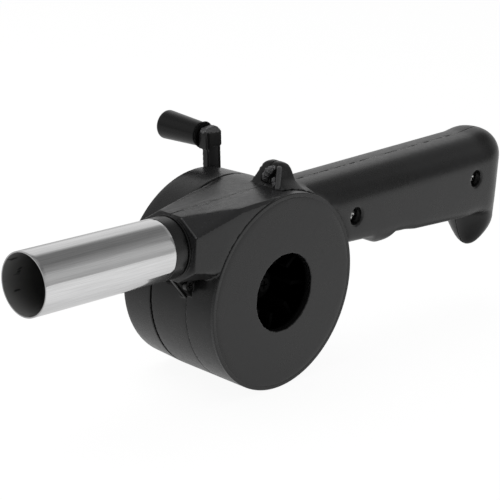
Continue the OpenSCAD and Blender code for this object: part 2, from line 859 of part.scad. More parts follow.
// The arm's own frame: its axis at the crank shaft, leaning as it does at rest
module at_arm() {
    translate([crank_x, 0, crank_z]) rotate([0, -arm_lean, 0]) children();
}
knob_at = [
    crank_x - arm_l * sin(arm_lean) - knob_off * cos(arm_lean),
    crank_z + arm_l * cos(arm_lean) - knob_off * sin(arm_lean)
];
block_w = 9.6;
block_up = 3.9;
block_round = 2.8;
channel_depth = 2.2;
block_floor = 1;
knob_hole_y = arm_y + block_floor;
block_y = arm_y + block_t;
module block_outline() {
    half = block_w / 2;
    polygon(concat(
        arc([half - block_round, block_up - block_round], block_round, 0, 90, round_steps),
        arc([block_round - half, block_up - block_round], block_round, 90, 180, round_steps),
        [[-half, -half], [half, -half]]
    ));
}
module crank_arm() {
    color(black) difference() {
        union() {
            bar(crank_at, arm_y, arm_y + arm_hub_h, arm_hub_r);
            at_arm() slab(arm_y, arm_y + arm_t) translate([-arm_w / 2, 0]) square([arm_w, arm_l]);
            at_arm() translate([0, 0, arm_l]) slab(arm_y, block_y) block_outline();
        }
        at_arm() translate([arm_rim - arm_w / 2, arm_y - over, arm_hub_r + arm_rim])
            cube([arm_w - 2 * arm_rim, channel_depth + over, arm_l - arm_hub_r - block_w / 2 - arm_rim]);
        shaft_end(crank_shaft_r + play, arm_y - over, shaft_end_y + play);
        bar(crank_at, shaft_end_y, arm_y + arm_hub_h + over, arm_screw_r + play);
        bar(knob_at, knob_hole_y, block_y + over, pin_r + play);
    }
}

module arm_screw() {
    color(steel) screw(crank_at, arm_y + arm_hub_h, arm_y + arm_hub_h - arm_screw_l,
        arm_screw_r, arm_head_r, arm_head_h);
}

// The knob on its pin, and the fixed ring behind it
ring_bevel = 0.3;
knob_y = block_y + ring_t + turn_gap;
knob_end_y = knob_y + knob_l;
knob_round = 1.6;
pin_head_r = 3.2;
pin_head_h = 1.8;
cup_depth = 3;
knob_bevel = 0.5;
module knob_ring() {
    bore = pin_r + play;
    color(black) turned(knob_at, [
        [bore, block_y + play], [ring_r - ring_bevel, block_y + play], [ring_r, block_y + ring_bevel],
        [ring_r, block_y + ring_t - ring_bevel], [ring_r - ring_bevel, block_y + ring_t],
        [bore, block_y + ring_t]
    ]);
}

module knob_pin() {
    seat = knob_end_y - cup_depth + running;
    color(steel) screw(knob_at, seat, knob_hole_y + play, pin_r, pin_head_r, pin_head_h);
}

module crank_knob() {
    color(black) difference() {
        turned(knob_at, concat(
            [[0, knob_y], [knob_r_in - knob_bevel, knob_y], [knob_r_in, knob_y + knob_bevel]],
            arc([knob_r_out - knob_round, knob_end_y - knob_round], knob_round, 0, 90, round_steps),
            [[0, knob_end_y]]
        ));
        bar(knob_at, knob_y - over, knob_end_y + over, pin_r + running);
        bar(knob_at, knob_end_y - cup_depth, knob_end_y + over, pin_head_r + turn_gap);
    }
}

module grip_screws() {
    color(steel) for (place = [front_screw, rear_screw])
        screw(place, seat_depth, grip_tip_y, screw_r, head_r, head_h);
}

module lug_screw() {
    color(steel) screw(lug_screw_at, lug_seat_y, lug_tip_y, small_screw_r, small_head_r, small_head_h);
}

module web_screw() {
    color(steel) screw(web_screw_at, web_seat_y, web_tip_y, small_screw_r, small_head_r, small_head_h);
}

module cover_screws() {
    color(steel) for (place = cover_screw_places)
        screw(place, cover_seat_y, cover_tip_y, screw_r, cover_head_r, head_h);
}

near_shell();
far_shell();
gear_cover();
nozzle_tube();
impeller();
fan_shaft();
fan_bush();
fan_washer();
fan_screw();
fan_pinion();
idler_gear();
idler_axle();
idler_washers();
drive_gear();
crank_shaft();
gear_pin();
inner_crank_bush();
outer_crank_bush();
crank_arm();
arm_screw();
knob_ring();
knob_pin();
crank_knob();
grip_screws();
lug_screw();
web_screw();
cover_screws();
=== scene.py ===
"""Hand crank forge blower: skins, materials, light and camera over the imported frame."""

from math import cos, hypot, pi, radians, sin, sqrt, tau

import bmesh
import bpy
import numpy as np
from bpy.props import FloatProperty, FloatVectorProperty, IntProperty, PointerProperty
from mathutils import Matrix, Vector, noise
from mathutils.bvhtree import BVHTree


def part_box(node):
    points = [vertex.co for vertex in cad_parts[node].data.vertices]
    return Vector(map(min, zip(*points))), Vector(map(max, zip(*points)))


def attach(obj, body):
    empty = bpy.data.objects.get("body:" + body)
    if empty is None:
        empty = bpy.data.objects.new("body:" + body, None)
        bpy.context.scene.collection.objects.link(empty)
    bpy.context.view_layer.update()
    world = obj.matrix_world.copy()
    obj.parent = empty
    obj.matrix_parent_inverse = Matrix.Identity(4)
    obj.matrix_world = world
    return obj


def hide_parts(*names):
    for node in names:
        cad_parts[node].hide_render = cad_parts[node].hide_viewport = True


bl_info = {
    "name": "Hand Crank Forge Blower",
    "version": (1, 0, 0),
    "blender": (4, 5, 0),
    "location": "3D View > Sidebar > Blower",
    "description": "Moulded skins, metal finishes and studio light for a hand crank forge blower",
    "category": "Object",
}

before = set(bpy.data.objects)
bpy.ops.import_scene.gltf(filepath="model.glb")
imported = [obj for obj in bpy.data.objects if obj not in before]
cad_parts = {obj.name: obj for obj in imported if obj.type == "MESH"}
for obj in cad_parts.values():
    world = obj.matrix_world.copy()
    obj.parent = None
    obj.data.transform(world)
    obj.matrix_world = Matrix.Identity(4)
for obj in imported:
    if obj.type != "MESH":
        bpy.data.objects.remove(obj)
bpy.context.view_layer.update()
MM = 0.001


def metres(*lengths):
    """A place given in millimetres."""
    return Vector([length * MM for length in lengths])


# The shells' seam and the gap before the cover: places along Y, in metres.
SEAM_Y = 15.4 * MM
GAP_FACES = (35.1 * MM, 35.8 * MM)
GAP_LOW, GAP_HIGH = 34.9 * MM, 36.0 * MM
GAP_DARK_Z = 14 * MM
CRISP_PLANES = (SEAM_Y, *GAP_FACES)
CRISP_REACH = 0.7 * MM

# Passes and boxes for the roots of hook, finger bump and lug, and for even normals.
SOFT_ZONES = ((40, metres(126, -1, 5), metres(158, 32, 19)),
              (20, metres(56, -1, 4), metres(76, 32, 15)),
              (3, metres(-3, 5, 43.2), metres(17, 26, 53)))
NORMAL_TURNS = 14
NORMAL_LIMIT = cos(radians(13))

# Where a skin takes a second finish of painted shade or painted light, in metres.
TAB_LOW, TAB_HIGH = metres(-56, 11.8, 1), metres(-40.5, 15.46, 12.5)
TAB_RADIUS, WEB_LIT_Y = 42.2 * MM, 16.7 * MM
CHAMBER_RADIUS, CHAMBER_FRONT, CHAMBER_BACK = 39.8 * MM, 2.5 * MM, 32.7 * MM
DUCT_END, DUCT_TOP_END = -52.9 * MM, -9 * MM
FOOT_LOW, FOOT_HIGH = metres(-9, 1.2, 40), metres(1.5, 18, 43.4)
POCKET_LOW, POCKET_HIGH = metres(-2, 10.2, 42.8), metres(4.5, 24, 50)
PITS_LOW, PITS_HIGH = metres(2, 53, 54), metres(16, 59, 58.5)

# Changes to the housing's skins, in millimetres: a pair is where a change starts and ends.
GAP_FADE_Z, GAP_RADIUS, GAP_MORE = (0, 20), 39, 0.14
DRUM_RADIUS = 42
REAR_X, REAR_Z, REAR_LIFT = (133, 147), (16, 43), 1.3
UNDER_START_X, UNDER_END_X, UNDER_Z, UNDER_DROP = (80, 90), (128, 134), (14, 26), 0.8
LUG_X, LUG_Z, LUG_LIFT, LUG_PUSH_X, LUG_PUSH = (-3, 18), (42.8, 49), 0.9, (8, 11), 1.1
LUG_FOOT_X, LUG_FOOT_Y, LUG_FOOT_HEIGHT = (-2, 17), (4, 9.8), 0.12
LUG_FOOT_FADE, LUG_FOOT_PUSH = (0.1, 3.4), 3.2
GRIP_END_X, GRIP_HALF = 140.7, 15.4
HOOK_X, HOOK_LOW_Z, HOOK_HIGH_Z, HOOK_MARGIN = (135, 144), (-8, 11), (14, 21), 0.15
WALL_Y, WALL_RADIUS, WALL_LOW_Z, WALL_X, WALL_PUSH = (0.3, 0.75), 42.1, 12, (-52, -34), 0.27
RIM_END, RIM_SPAN, RIM_SINK, RIM_DEPTH = 42.3, (40.1, 40.9), 0.45, 1.2
SIDE_SPAN, SIDE_RADIUS, SIDE_DEPTH = (41.7, 42.06), 41.9, 1.4
GROOVE_X, GROOVE_SPAN = (-55.3, -53.12), (11.4, 13.3)

# Extra pieces of the housing, in millimetres: place and size, ends and radius, radius and height.
LUG_LUMPS = (
    ((2.0, 12.4, 49.8), (0.9, 1.0, 0.9)), ((1.4, 13.1, 49.0), (1.1, 1.3, 1.3)),
    ((0.8, 14.0, 48.1), (1.1, 1.5, 1.4)), ((0.7, 14.8, 46.7), (1.1, 1.4, 1.4)),
    ((0.8, 15.5, 45.3), (1.0, 1.1, 1.3)), ((0.5, 10.3, 45.2), (0.8, 0.9, 1.3)),
    ((0.4, 9.8, 43.7), (0.8, 0.9, 1.2)))
# Round edges of duct and lug whose lighter plastic is a painted highlight.
HIGHLIGHT_EDGES = (
    ("duct_edge", (-53.02, 9.6, 39.25), (-53.02, 0.85, 33.22), 0.34),
    ("lug_edge", (3.3, 10.2, 50.9), (-0.3, 7.4, 41.6), 1.05))
DISC_RINGS = (
    (40.1, 0.30), (40.35, 0.04), (40.5, 0.0), (40.8, 0.0), (41.60, 0.0), (41.72, 0.01),
    (41.78, 0.05), (41.92, 0.18), (41.97, 0.26), (41.99, 0.36), (41.995, 0.50), (41.995, 1.3),
    (41.9, 1.6), (41.0, 1.6))
COLLAR_RINGS = (
    (11.3, -61.1), (12.30, -61.1), (12.47, -61.02), (12.53, -60.85), (12.54, -60.6), (12.54, -57.8),
    (12.54, -55.15), (12.50, -55.02), (12.38, -54.95), (12.1, -54.93), (11.7, -54.90),
    (11.64, -54.78), (11.64, -54.42), (11.7, -54.32), (12.2, -54.30), (12.65, -54.28),
    (12.80, -54.22), (12.84, -54.12), (12.84, -53.88), (12.80, -53.78), (12.65, -53.74),
    (12.2, -53.72), (12.1, -53.6), (12.1, -53.3), (12.1, -53.0), (11.3, -53.0))
FIN_RADIUS, FIN_ROOT, FIN_STEPS, FIN_START, FIN_END = 41.98, 41.1, 420, 196, 342
BEAD_HALF, BEAD_SUNK, BEAD_THICK, BEAD_STEP = 0.34, 0.03, 0.5, 0.6

# The crank arm's middle line and faces in metres, then its channel and head in millimetres.
ARM_FOOT, ARM_HEAD = metres(16, 0, -3), metres(8.755, 0, 52.64)
ARM_FRONT, ARM_BACK = 53.6 * MM, 56.1 * MM
ARM_HALF = 4.05
CHANNEL_RUN, CHANNEL_EDGE, CHANNEL_DEPTH = (9, 51.5), 0.4, 2.2
CHANNEL_RISE, CHANNEL_SLOPE = 1.9, (2.6, 7.2)
HEAD_RUN, HEAD_LOW_Z, HEAD_SLOPE, HEAD_LENGTH, HEAD_FACE = 51, 54.4, 0.75, 4, 0.5
NOTCH_DEPTH, NOTCH_MIDDLE, NOTCH_WIDTH, NOTCH_FADE = 1.1, 1.9, 0.42, (57.6, 59.4)
NOTCH_SPAN, CHANNEL_PASSES, NOTCH_PASSES = (0.6, 4), 4, 3

# The tube's lip: share of the wall and depth; its wall and lip in metres.
LIP = ((0.03, 0.08), (0.12, 0.02), (0.22, 0), (0.30, 0), (0.70, 0), (0.78, 0), (0.88, 0.02),
       (0.97, 0.08))
TUBE_WALL, TUBE_LIP, TUBE_STEPS = 0.6 * MM, 0.16 * MM, 44

# The grip's screws, in millimetres.
GRIP_SCREWS = ((43.7, 24.6), (129.3, 27.0))
GRIP_SCREW_SEAT, GRIP_SCREW_END = 6.8, 26.0
GRIP_HEAD_RADIUS, GRIP_HEAD_HEIGHT, GRIP_SHANK_RADIUS = 3.1, 3.3, 1.45
THREAD_PITCH, THREAD_DEPTH = 0.5, 0.22
SLOT_HALF, SLOT_REACH, SLOT_DEPTH, SLOT_TAPER = 0.42, 1.75, 1.1, 2.6

# The sky's grey by height, its darker zone as steps along an axis, and its brighter side.
SKY = ((-1, 0.8), (-0.02, 0.8), (0, 0.42), (0.06, 0.44), (0.13, 0.58), (0.26, 0.68), (0.50, 0.62),
       (0.64, 0.60), (0.73, 0.38), (0.80, 0.22), (0.90, 0.30), (1, 0.40))
SKY_DARK = (("X", 0.15, 0.50, 0, 0.56), ("Y", 0.26, 0.42, 1, 0), ("Z", 0.05, 0.14, 0, 1),
            ("Z", 0.46, 0.60, 0.5, 1), ("Z", 0.74, 0.86, 1, 0))
SKY_SIDE, SKY_LEVEL = (0.40, 0.12, 0), 0.77

# The floor's fall-off for glossy rays, its dim spot under the hook, and the dark card.
FLOOR_WAY, FLOOR_FALL = (-0.71, 0.63, 0), (0.02, 0.19, 0.96, 0.34)
HOOK_SHADE, HOOK_SQUEEZE, HOOK_FALL = (0.165, 0.008, 0), (1, 1.3, 0), (0.02, 0.075, 0.12, 1)
PAPER_TONES, FLOOR_SHARES, CAMERA_WHITE = (0.88, 0.92), (0.60, 0.85), 1.1
CARD_MIDDLE, CARD_WIDTH, CARD_HEIGHT = metres(362, -220, 180), 0.13, 0.37
CARD_X, CARD_Y, CARD_BOW, CARD_TONES = 0.67, 0.74, 0.006, (0.16, 0.24)
LAMP_PLACE, LAMP_SIZE = metres(-250, 250, 950), 0.9


# ---- settings

KINDS = {
    "colour": (FloatVectorProperty, {"subtype": "COLOR", "size": 3, "min": 0, "max": 1}),
    "share": (FloatProperty, {"subtype": "FACTOR", "min": 0, "max": 1}),
    "length": (FloatProperty, {"subtype": "DISTANCE", "unit": "LENGTH", "precision": 5}),
    "angle": (FloatProperty, {"subtype": "ANGLE", "unit": "ROTATION"}),
    "passes": (IntProperty, {"min": 0, "max": 20})}


def setting(kind, name, description, default, **limits):
    """One of the panel's values."""
    maker, fixed = KINDS[kind]
    return maker(name=name, description=description, default=default, **fixed, **limits)


class BlowerPlasticSettings(bpy.types.PropertyGroup):
    """Colours and surface of the moulded plastics."""
    shell_colour: setting(
        "colour", "Shell", "Black plastic of the two housing halves", (0.0104, 0.0104, 0.0107))
    cover_colour: setting(
        "colour", "Gear cover", "Black plastic of the gear cover", (0.0115, 0.0115, 0.0118))
    arm_colour: setting(
        "colour", "Crank arm", "Glossier black plastic of the crank arm", (0.0160, 0.0160, 0.0164))
    knob_colour: setting(
        "colour", "Knob", "Glossy black plastic of the turning knob", (0.0035, 0.0035, 0.0037))
    # Black plastic darkened further as painted shade of the fan chamber; the shell's painted shade
    # and the knob ring use it too.
    rotor_colour: setting(
        "colour", "Impeller", "Dull black plastic of the impeller", (0.0014, 0.0014, 0.0015))
    gear_colour: setting("colour", "Gears", "Pale nylon of the gears", (0.52, 0.49, 0.42))
    shell_roughness: setting("share", "Shell roughness", "Roughness of the housing plastic", 0.27)
    # Edge wear lightens outward edges: worn plastic, and a painted highlight along them.
    edge_wear: setting("share", "Edge wear", "How much lighter the rubbed edges are", 0.30)


class BlowerMetalSettings(bpy.types.PropertyGroup):
    """Colours and surface of the metal pieces."""
    tube_colour: setting(
        "colour", "Tube", "Polished steel of the nozzle tube", (0.84, 0.84, 0.843))
    tube_inner_colour: setting(
        "colour", "Tube inside", "Dull unpolished steel inside the tube", (0.190, 0.190, 0.188))
    screw_colour: setting(
        "colour", "Screws", "Bright zinc plating of the screws", (0.66, 0.66, 0.65))
    # Blackened steel; for the web screw in its recess the dark colour is also painted shade.
    dark_screw_colour: setting(
        "colour", "Dark screws", "Blackened steel of the other screws", (0.085, 0.085, 0.085))
    shaft_colour: setting(
        "colour", "Shafts", "Ground steel of shafts, pins and washers", (0.50, 0.50, 0.49))
    bush_colour: setting(
        "colour", "Bushes", "Sintered bronze of the bearing bushes", (0.46, 0.30, 0.13))


class BlowerShapeSettings(bpy.types.PropertyGroup):
    """Sizes of the skins that are laid over the frame."""
    shell_grain: setting("length", "Shell mesh", "Edge length of the housing skins", 0.00052,
                         min=0.0004, max=0.002)
    small_grain: setting("length", "Small mesh", "Edge length of the crank arm skin", 0.00025,
                         min=0.0002, max=0.001)
    shell_passes: setting("passes", "Shell rounding", "Smoothing passes on the housing", 2)
    small_passes: setting("passes", "Small rounding", "Smoothing passes on the crank arm", 2)
    flash_width: setting("length", "Flash width", "Width of the fin on the drum's parting line",
                         0.00042, min=0.0001, max=0.001)


class BlowerStageSettings(bpy.types.PropertyGroup):
    """Floor, light and camera."""
    camera_place: FloatVectorProperty(
        name="Camera place", description="Where the camera stands",
        subtype="TRANSLATION", unit="LENGTH", size=3, default=(-0.52125, -0.44475, 0.23934))
    camera_azimuth: setting("angle", "Azimuth", "Turn of the view about the upright axis",
                            radians(-48.25607))
    camera_elevation: setting("angle", "Elevation", "Height of the view", radians(17.95574))
    camera_roll: setting("angle", "Roll", "Tilt of the picture", radians(3.58216))
    camera_lens: FloatProperty(
        name="Lens", description="Focal length in millimetres on a 36 mm sensor",
        min=20, max=300, default=127.588)
    lamp_power: FloatProperty(
        name="Lamp power", description="Power of the soft lamp above",
        subtype="POWER", unit="POWER", min=0, max=50, default=4.0)
    floor_drop: setting("length", "Floor", "Height of the floor under the drum", -0.0421)


# ---- mesh tools

def place_object(name, mesh):
    piece = bpy.data.objects.new(name, mesh)
    bpy.context.scene.collection.objects.link(piece)
    return piece


def wear(piece, finish_name):
    piece.data.materials.clear()
    piece.data.materials.append(finish(finish_name))


def hang(piece, finish_name, *nodes, body="housing", slot="shell"):
    """The piece wears a finish, rides on a body, and may stand for CAD nodes."""
    wear(piece, finish_name)
    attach(piece, body)
    if nodes:
        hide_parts(*nodes)


def settled(piece):
    """Applies the piece's modifiers to its mesh."""
    graph = bpy.context.evaluated_depsgraph_get()
    mesh = bpy.data.meshes.new_from_object(
        piece.evaluated_get(graph), preserve_all_data_layers=True, depsgraph=graph)
    old = piece.data
    piece.modifiers.clear()
    piece.data = mesh
    mesh.name = old.name
    bpy.data.meshes.remove(old)


def surface_tree(node):
    """A search tree over a CAD node's faces."""
    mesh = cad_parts[node].data
    return BVHTree.FromPolygons([vertex.co for vertex in mesh.vertices],
                                [face.vertices[:] for face in mesh.polygons])


def read_points(mesh, what="co"):
    values = np.empty(len(mesh.vertices) * 3)
    mesh.vertices.foreach_get(what, values)
    return values.reshape(-1, 3)


def write_points(mesh, points):
    mesh.vertices.foreach_set("co", points.ravel())
    mesh.update()


def edge_ends(mesh):
    ends = np.empty(len(mesh.edges) * 2, dtype=np.int32)
    mesh.edges.foreach_get("vertices", ends)
    return ends.reshape(-1, 2).T


def ramp(values, low, high):
    """0 below low, 1 above high, and a smooth rise between them."""
    share = np.clip((values - low) / (high - low), 0, 1)
    return share * share * (3 - 2 * share)


def within(place, low, high):
    return all(a < p < b for p, a, b in zip(place, low, high))


def in_box(points, low, high):
    return np.all((points > low) & (points < high), axis=1)


def between(values, span):
    return (values > span[0]) & (values < span[1])


def crisp_lines(mesh, node):
    """Sets points near the planes where pieces meet back on the CAD surface."""
    tree = surface_tree(node)
    points = read_points(mesh)
    near = np.zeros(len(points), dtype=bool)
    for plane in CRISP_PLANES:
        near |= abs(points[:, 1] - plane) < CRISP_REACH
    for index in np.nonzero(near)[0]:
        points[index] = tree.find_nearest(Vector(points[index]))[0]
    write_points(mesh, points)


def neighbour_sum(values, first, second):
    """For each point the sum of its neighbours' values, over edges from first to second."""
    sums = [np.bincount(first, values[second, axis], len(values))
            + np.bincount(second, values[first, axis], len(values)) for axis in range(3)]
    return np.stack(sums, axis=1)


def melt(mesh, chosen, passes):
    """Smooths the chosen points, so that two forms flow into one another."""
    points = read_points(mesh)
    first, second = edge_ends(mesh)
    near = chosen[first] | chosen[second]
    first, second = first[near], second[near]
    ways = neighbour_sum(np.ones_like(points), first, second)[chosen]
    for _ in range(passes):
        total = neighbour_sum(points, first, second)[chosen]
        points[chosen] += 0.5 * (total / ways - points[chosen])
    write_points(mesh, points)


def even_normals(mesh):
    """Blends normals of neighbours that nearly agree: faces are smooth, edges stay."""
    normals = read_points(mesh, "normal")
    first, second = edge_ends(mesh)
    for _ in range(NORMAL_TURNS):
        alike = (normals[first] * normals[second]).sum(axis=1) > NORMAL_LIMIT
        total = normals + neighbour_sum(normals, first[alike], second[alike])
        normals = total / np.linalg.norm(total, axis=1, keepdims=True)
    mesh.normals_split_custom_set_from_vertices(normals.tolist())


def worn_skin(node, grain, passes):
    """A copy of a CAD node with rounded edges."""
    skin = place_object(node + "_skin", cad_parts[node].data.copy())
    weld = skin.modifiers.new("Joined corners", "WELD")
    weld.merge_threshold = 0.002 * MM
    even = skin.modifiers.new("Even skin", "REMESH")
    even.mode = "VOXEL"
    even.voxel_size = grain
    even.use_smooth_shade = True
    soft = skin.modifiers.new("Rounded edges", "SMOOTH")
    soft.factor = 0.5
    soft.iterations = passes
    settled(skin)
    return skin


def roughen(piece, low, high, depth, scale, fade=0.6 * MM):
    """Moves the points inside a box in and out by a fixed noise, for a torn or pitted face."""
    mesh = piece.data
    points = read_points(mesh)
    for index in np.nonzero(in_box(points, low, high))[0]:
        vertex = mesh.vertices[int(index)]
        inside = min(min(p - a, b - p) for p, a, b in zip(vertex.co, low, high))
        lift = noise.noise(vertex.co * scale) + 0.5 * noise.noise(vertex.co * scale * 2.3)
        points[index] += np.array(vertex.normal) * lift * depth * min(1, inside / fade)
    write_points(mesh, points)


def join_rows(shape, rows, closed):
    """Joins rows of points into a tube, with a face over both of its ends if closed."""
    for before, after in zip(rows, rows[1:]):
        for index, corner in enumerate(before):
            follow = (index + 1) % len(before)
            shape.faces.new((corner, before[follow], after[follow], after[index]))
    if closed:
        shape.faces.new(rows[0])
        shape.faces.new(list(reversed(rows[-1])))


def made_piece(shape, name, outward=True, smooth=True):
    """Makes a piece of a bmesh, with its faces turned outward."""
    if outward:
        bmesh.ops.recalc_face_normals(shape, faces=shape.faces)
    for face in shape.faces:
        face.smooth = smooth
    mesh = bpy.data.meshes.new(name)
    shape.to_mesh(mesh)
    shape.free()
    return place_object(name, mesh)


def turned_piece(name, rings, sides, to_place, closed=False):
    """A piece turned from rings of (radius, height); to_place sets them in the frame."""
    shape = bmesh.new()
    rows = [[shape.verts.new(to_place(radius, height, tau * step / sides))
             for step in range(sides)] for radius, height in rings]
    join_rows(shape, rows, closed)
    bmesh.ops.remove_doubles(shape, verts=shape.verts, dist=0.001 * MM)
    return made_piece(shape, name)


def around(axis, first, second, unit=1):
    """Sets rings of (radius, place along the axis) about an axis along X or Y."""
    def to_place(radius, along, angle):
        a = first + radius * unit * cos(angle)
        b = second + radius * unit * sin(angle)
        return (along * unit, a, b) if axis == "X" else (a, along * unit, b)
    return to_place


def rounded_corner(centre, radius, start, end, steps):
    """Points (radius, height) along an arc, angles in degrees."""
    points = []
    for step in range(steps + 1):
        angle = radians(start + (end - start) * step / steps)
        points.append((centre[0] + radius * cos(angle), centre[1] + radius * sin(angle)))
    return points


# ---- material tools

class Nodes:
    """Adds nodes to the tree of a material or world and joins them."""

    def __init__(self, owner):
        owner.use_nodes = True
        self.tree = owner.node_tree

    def set(self, node, name, value):
        """Joins a node's input to another node, or sets it to a number, vector or colour."""
        socket = node.inputs[name]
        if isinstance(value, bpy.types.NodeSocket):
            self.tree.links.new(value, socket)
        else:
            socket.default_value = (*value, 1)[:4] if socket.type == "RGBA" else value

    def add(self, kind, inputs, **settings):
        """Adds a node with inputs by name or number."""
        node = self.tree.nodes.new(kind)
        for name, value in settings.items():
            setattr(node, name, value)
        for name, value in inputs.items():
            self.set(node, name, value)
        return node

    def read(self, kind, output):
        """A socket of a node that has no inputs."""
        return self.add(kind, {}).outputs[output]

    def step(self, value, low, high, to_low=0.0, to_high=1.0, kind="LINEAR"):
        """Maps low..high of a value onto to_low..to_high, held at both ends."""
        inputs = {"Value": value, "From Min": low, "From Max": high, "To Min": to_low,
                  "To Max": to_high}
        ranged = self.add("ShaderNodeMapRange", inputs, clamp=True, interpolation_type=kind)
        return ranged.outputs["Result"]

    def sum(self, operation, first, second):
        return self.add("ShaderNodeMath", {0: first, 1: second}, operation=operation).outputs[0]

    def product(self, first, *others):
        for other in others:
            first = self.sum("MULTIPLY", first, other)
        return first

    def vector(self, operation, first, second=(0, 0, 0)):
        maths = self.add("ShaderNodeVectorMath", {0: first, 1: second}, operation=operation)
        return maths.outputs["Value" if operation in ("DOT_PRODUCT", "LENGTH") else "Vector"]

    def parts(self, source):
        """The X, Y and Z sockets of a vector."""
        return self.add("ShaderNodeSeparateXYZ", {0: source}).outputs

    def noise(self, **inputs):
        """A noise texture's value; its inputs are named in small letters."""
        inputs = {name.title(): value for name, value in inputs.items()}
        return self.add("ShaderNodeTexNoise", inputs).outputs["Fac"]

    def blend(self, factor, first, second):
        """Shader first where factor is 0 and second where it is 1."""
        inputs = {0: factor, 1: first.outputs[0], 2: second.outputs[0]}
        return self.add("ShaderNodeMixShader", inputs).outputs[0]

    def show(self, shader):
        self.set(self.tree.nodes["Material Output"], "Surface", shader)


class Recipe(Nodes):
    """A node material in the making."""

    def __init__(self, name):
        self.material = bpy.data.materials.new(name)
        super().__init__(self.material)
        self.place = self.read("ShaderNodeTexCoord", "Object")
        self.bump = {}

    def cloud(self, scale, detail=2.0, stretch=(1, 1, 1), roughness=0.5):
        """A noise with so many waves to a metre, stretched along the object's axes."""
        mapping = self.add("ShaderNodeMapping", {"Scale": stretch, "Vector": self.place})
        return self.noise(scale=scale, detail=detail, roughness=roughness,
                          vector=mapping.outputs["Vector"])

    def mix(self, factor, first, second):
        """Colour first where factor is 0 and second where it is 1."""
        blend = self.add("ShaderNodeMix", {}, data_type="RGBA")
        for name, value in (("Factor_Float", factor), ("A_Color", first), ("B_Color", second)):
            index = [one.identifier for one in blend.inputs].index(name)
            self.set(blend, index, value)
        return [one for one in blend.outputs if one.enabled][0]

    def relief(self, height, depth):
        """Adds a fine bump of so many metres to the surface."""
        bump = self.add("ShaderNodeBump", {"Distance": depth, "Height": height, **self.bump})
        self.bump = {"Normal": bump.outputs["Normal"]}

    def edges(self):
        """1 on outward edges, 0 on faces."""
        return self.step(self.read("ShaderNodeNewGeometry", "Pointiness"), 0.515, 0.60)

    def upward(self, low, high):
        """1 where the surface looks up, 0 where it doesn't."""
        return self.step(self.parts(self.read("ShaderNodeNewGeometry", "Normal"))["Z"], low, high)

    def along(self, axis, low, high):
        """0 below low and 1 above high along one of the object's axes, in metres."""
        return self.step(self.parts(self.place)[axis], low, high)

    def finish(self, colour, roughness, fixed):
        """Joins colour, roughness and bump to the shader and sets its fixed inputs."""
        inputs = {"Base Color": colour, "Roughness": roughness, **self.bump, **fixed}
        for name, value in inputs.items():
            self.set(self.tree.nodes["Principled BSDF"], name, value)
        return self.material


def shade(colour, factor):
    return tuple(min(1.0, part * factor) for part in colour)


def moulded_plastic(name, colour, roughness, specks, wear_amount, grain, wave, streaks=0.0,
                    gloss=0.5):
    """Moulded black plastic: mottling, melt flow streaks, dust specks, and lighter edges for wear
    and painted highlight.
    """
    recipe = Recipe(name)
    mottle = recipe.cloud(38, 3)
    base = recipe.mix(recipe.step(mottle, 0.3, 0.7), shade(colour, 0.86), shade(colour, 1.14))
    if streaks:
        flow = recipe.step(recipe.cloud(420, 4, (0.05, 1, 1), 0.6), 0.54, 0.72, 0, streaks)
        on_duct = recipe.along("X", DUCT_TOP_END, DUCT_TOP_END - 4 * MM)
        flow = recipe.product(flow, recipe.upward(0.86, 0.95), on_duct)
        base = recipe.mix(flow, base, shade(colour, 9))
    dust = recipe.step(recipe.cloud(900, 2), 0.68, 0.74, 0, specks)
    base = recipe.mix(dust, base, shade(colour, 4))
    # Lighter outward edges: worn plastic, and a painted highlight along the edges.
    patches = recipe.step(recipe.cloud(160, 3), 0.35, 0.6, 0.4, 1)
    rubbed = recipe.product(recipe.edges(), patches, wear_amount)
    base = recipe.mix(rubbed, base, shade(colour, 5))
    dull = recipe.step(mottle, 0.25, 0.75, roughness - 0.04, roughness + 0.05)
    dull = recipe.sum("ADD", dull, recipe.step(recipe.cloud(520, 3), 0.4, 0.75, 0, 0.08))
    dull = recipe.sum("SUBTRACT", dull, recipe.product(rubbed, 0.3))
    recipe.relief(recipe.cloud(1500, 3), grain * MM)
    recipe.relief(recipe.cloud(110, 2), wave * MM)
    return recipe.finish(base, dull, {"IOR": 1.5, "Specular IOR Level": gloss})


def polished_tube(colour):
    """Bright drawn steel with fine lengthwise polish lines and faint handling smears."""
    recipe = Recipe("polished tube")
    lines = recipe.cloud(2600, 3, (0.02, 1, 1), 0.65)
    smear = recipe.cloud(55, 3, (0.5, 1, 1))
    base = recipe.mix(recipe.step(lines, 0.3, 0.7), shade(colour, 0.88), shade(colour, 1.07))
    base = recipe.mix(recipe.step(smear, 0.5, 0.75, 0, 0.25), base, shade(colour, 0.86))
    dull = recipe.step(lines, 0.3, 0.75, 0.05, 0.13)
    dull = recipe.sum("ADD", dull, recipe.step(smear, 0.4, 0.7, 0, 0.05))
    recipe.relief(lines, 0.004 * MM)
    return recipe.finish(base, dull, {"Metallic": 1.0})


def dull_tube(colour):
    """Unpolished steel inside the tube, darkened in patches by the air stream's soot, and lighter
    near the mouth as painted light.
    """
    recipe = Recipe("tube inner wall")
    soot = recipe.cloud(120, 4, (0.4, 1, 1))
    spots = recipe.step(recipe.cloud(380, 2, (0.35, 1, 1)), 0.66, 0.72, 0, 0.8)
    base = recipe.mix(recipe.step(soot, 0.35, 0.7), shade(colour, 0.6), shade(colour, 0.35))
    # Painted light: lighter near the mouth; deeper in the tube stays darker as painted shade.
    base = recipe.mix(recipe.along("X", -112 * MM, -125 * MM), base, shade(colour, 1.5))
    base = recipe.mix(spots, base, shade(colour, 0.12))
    dull = recipe.step(soot, 0.3, 0.7, 0.40, 0.55)
    recipe.relief(recipe.cloud(900, 3, (0.3, 1, 1)), 0.012 * MM)
    return recipe.finish(base, dull, {"Metallic": 0.2})


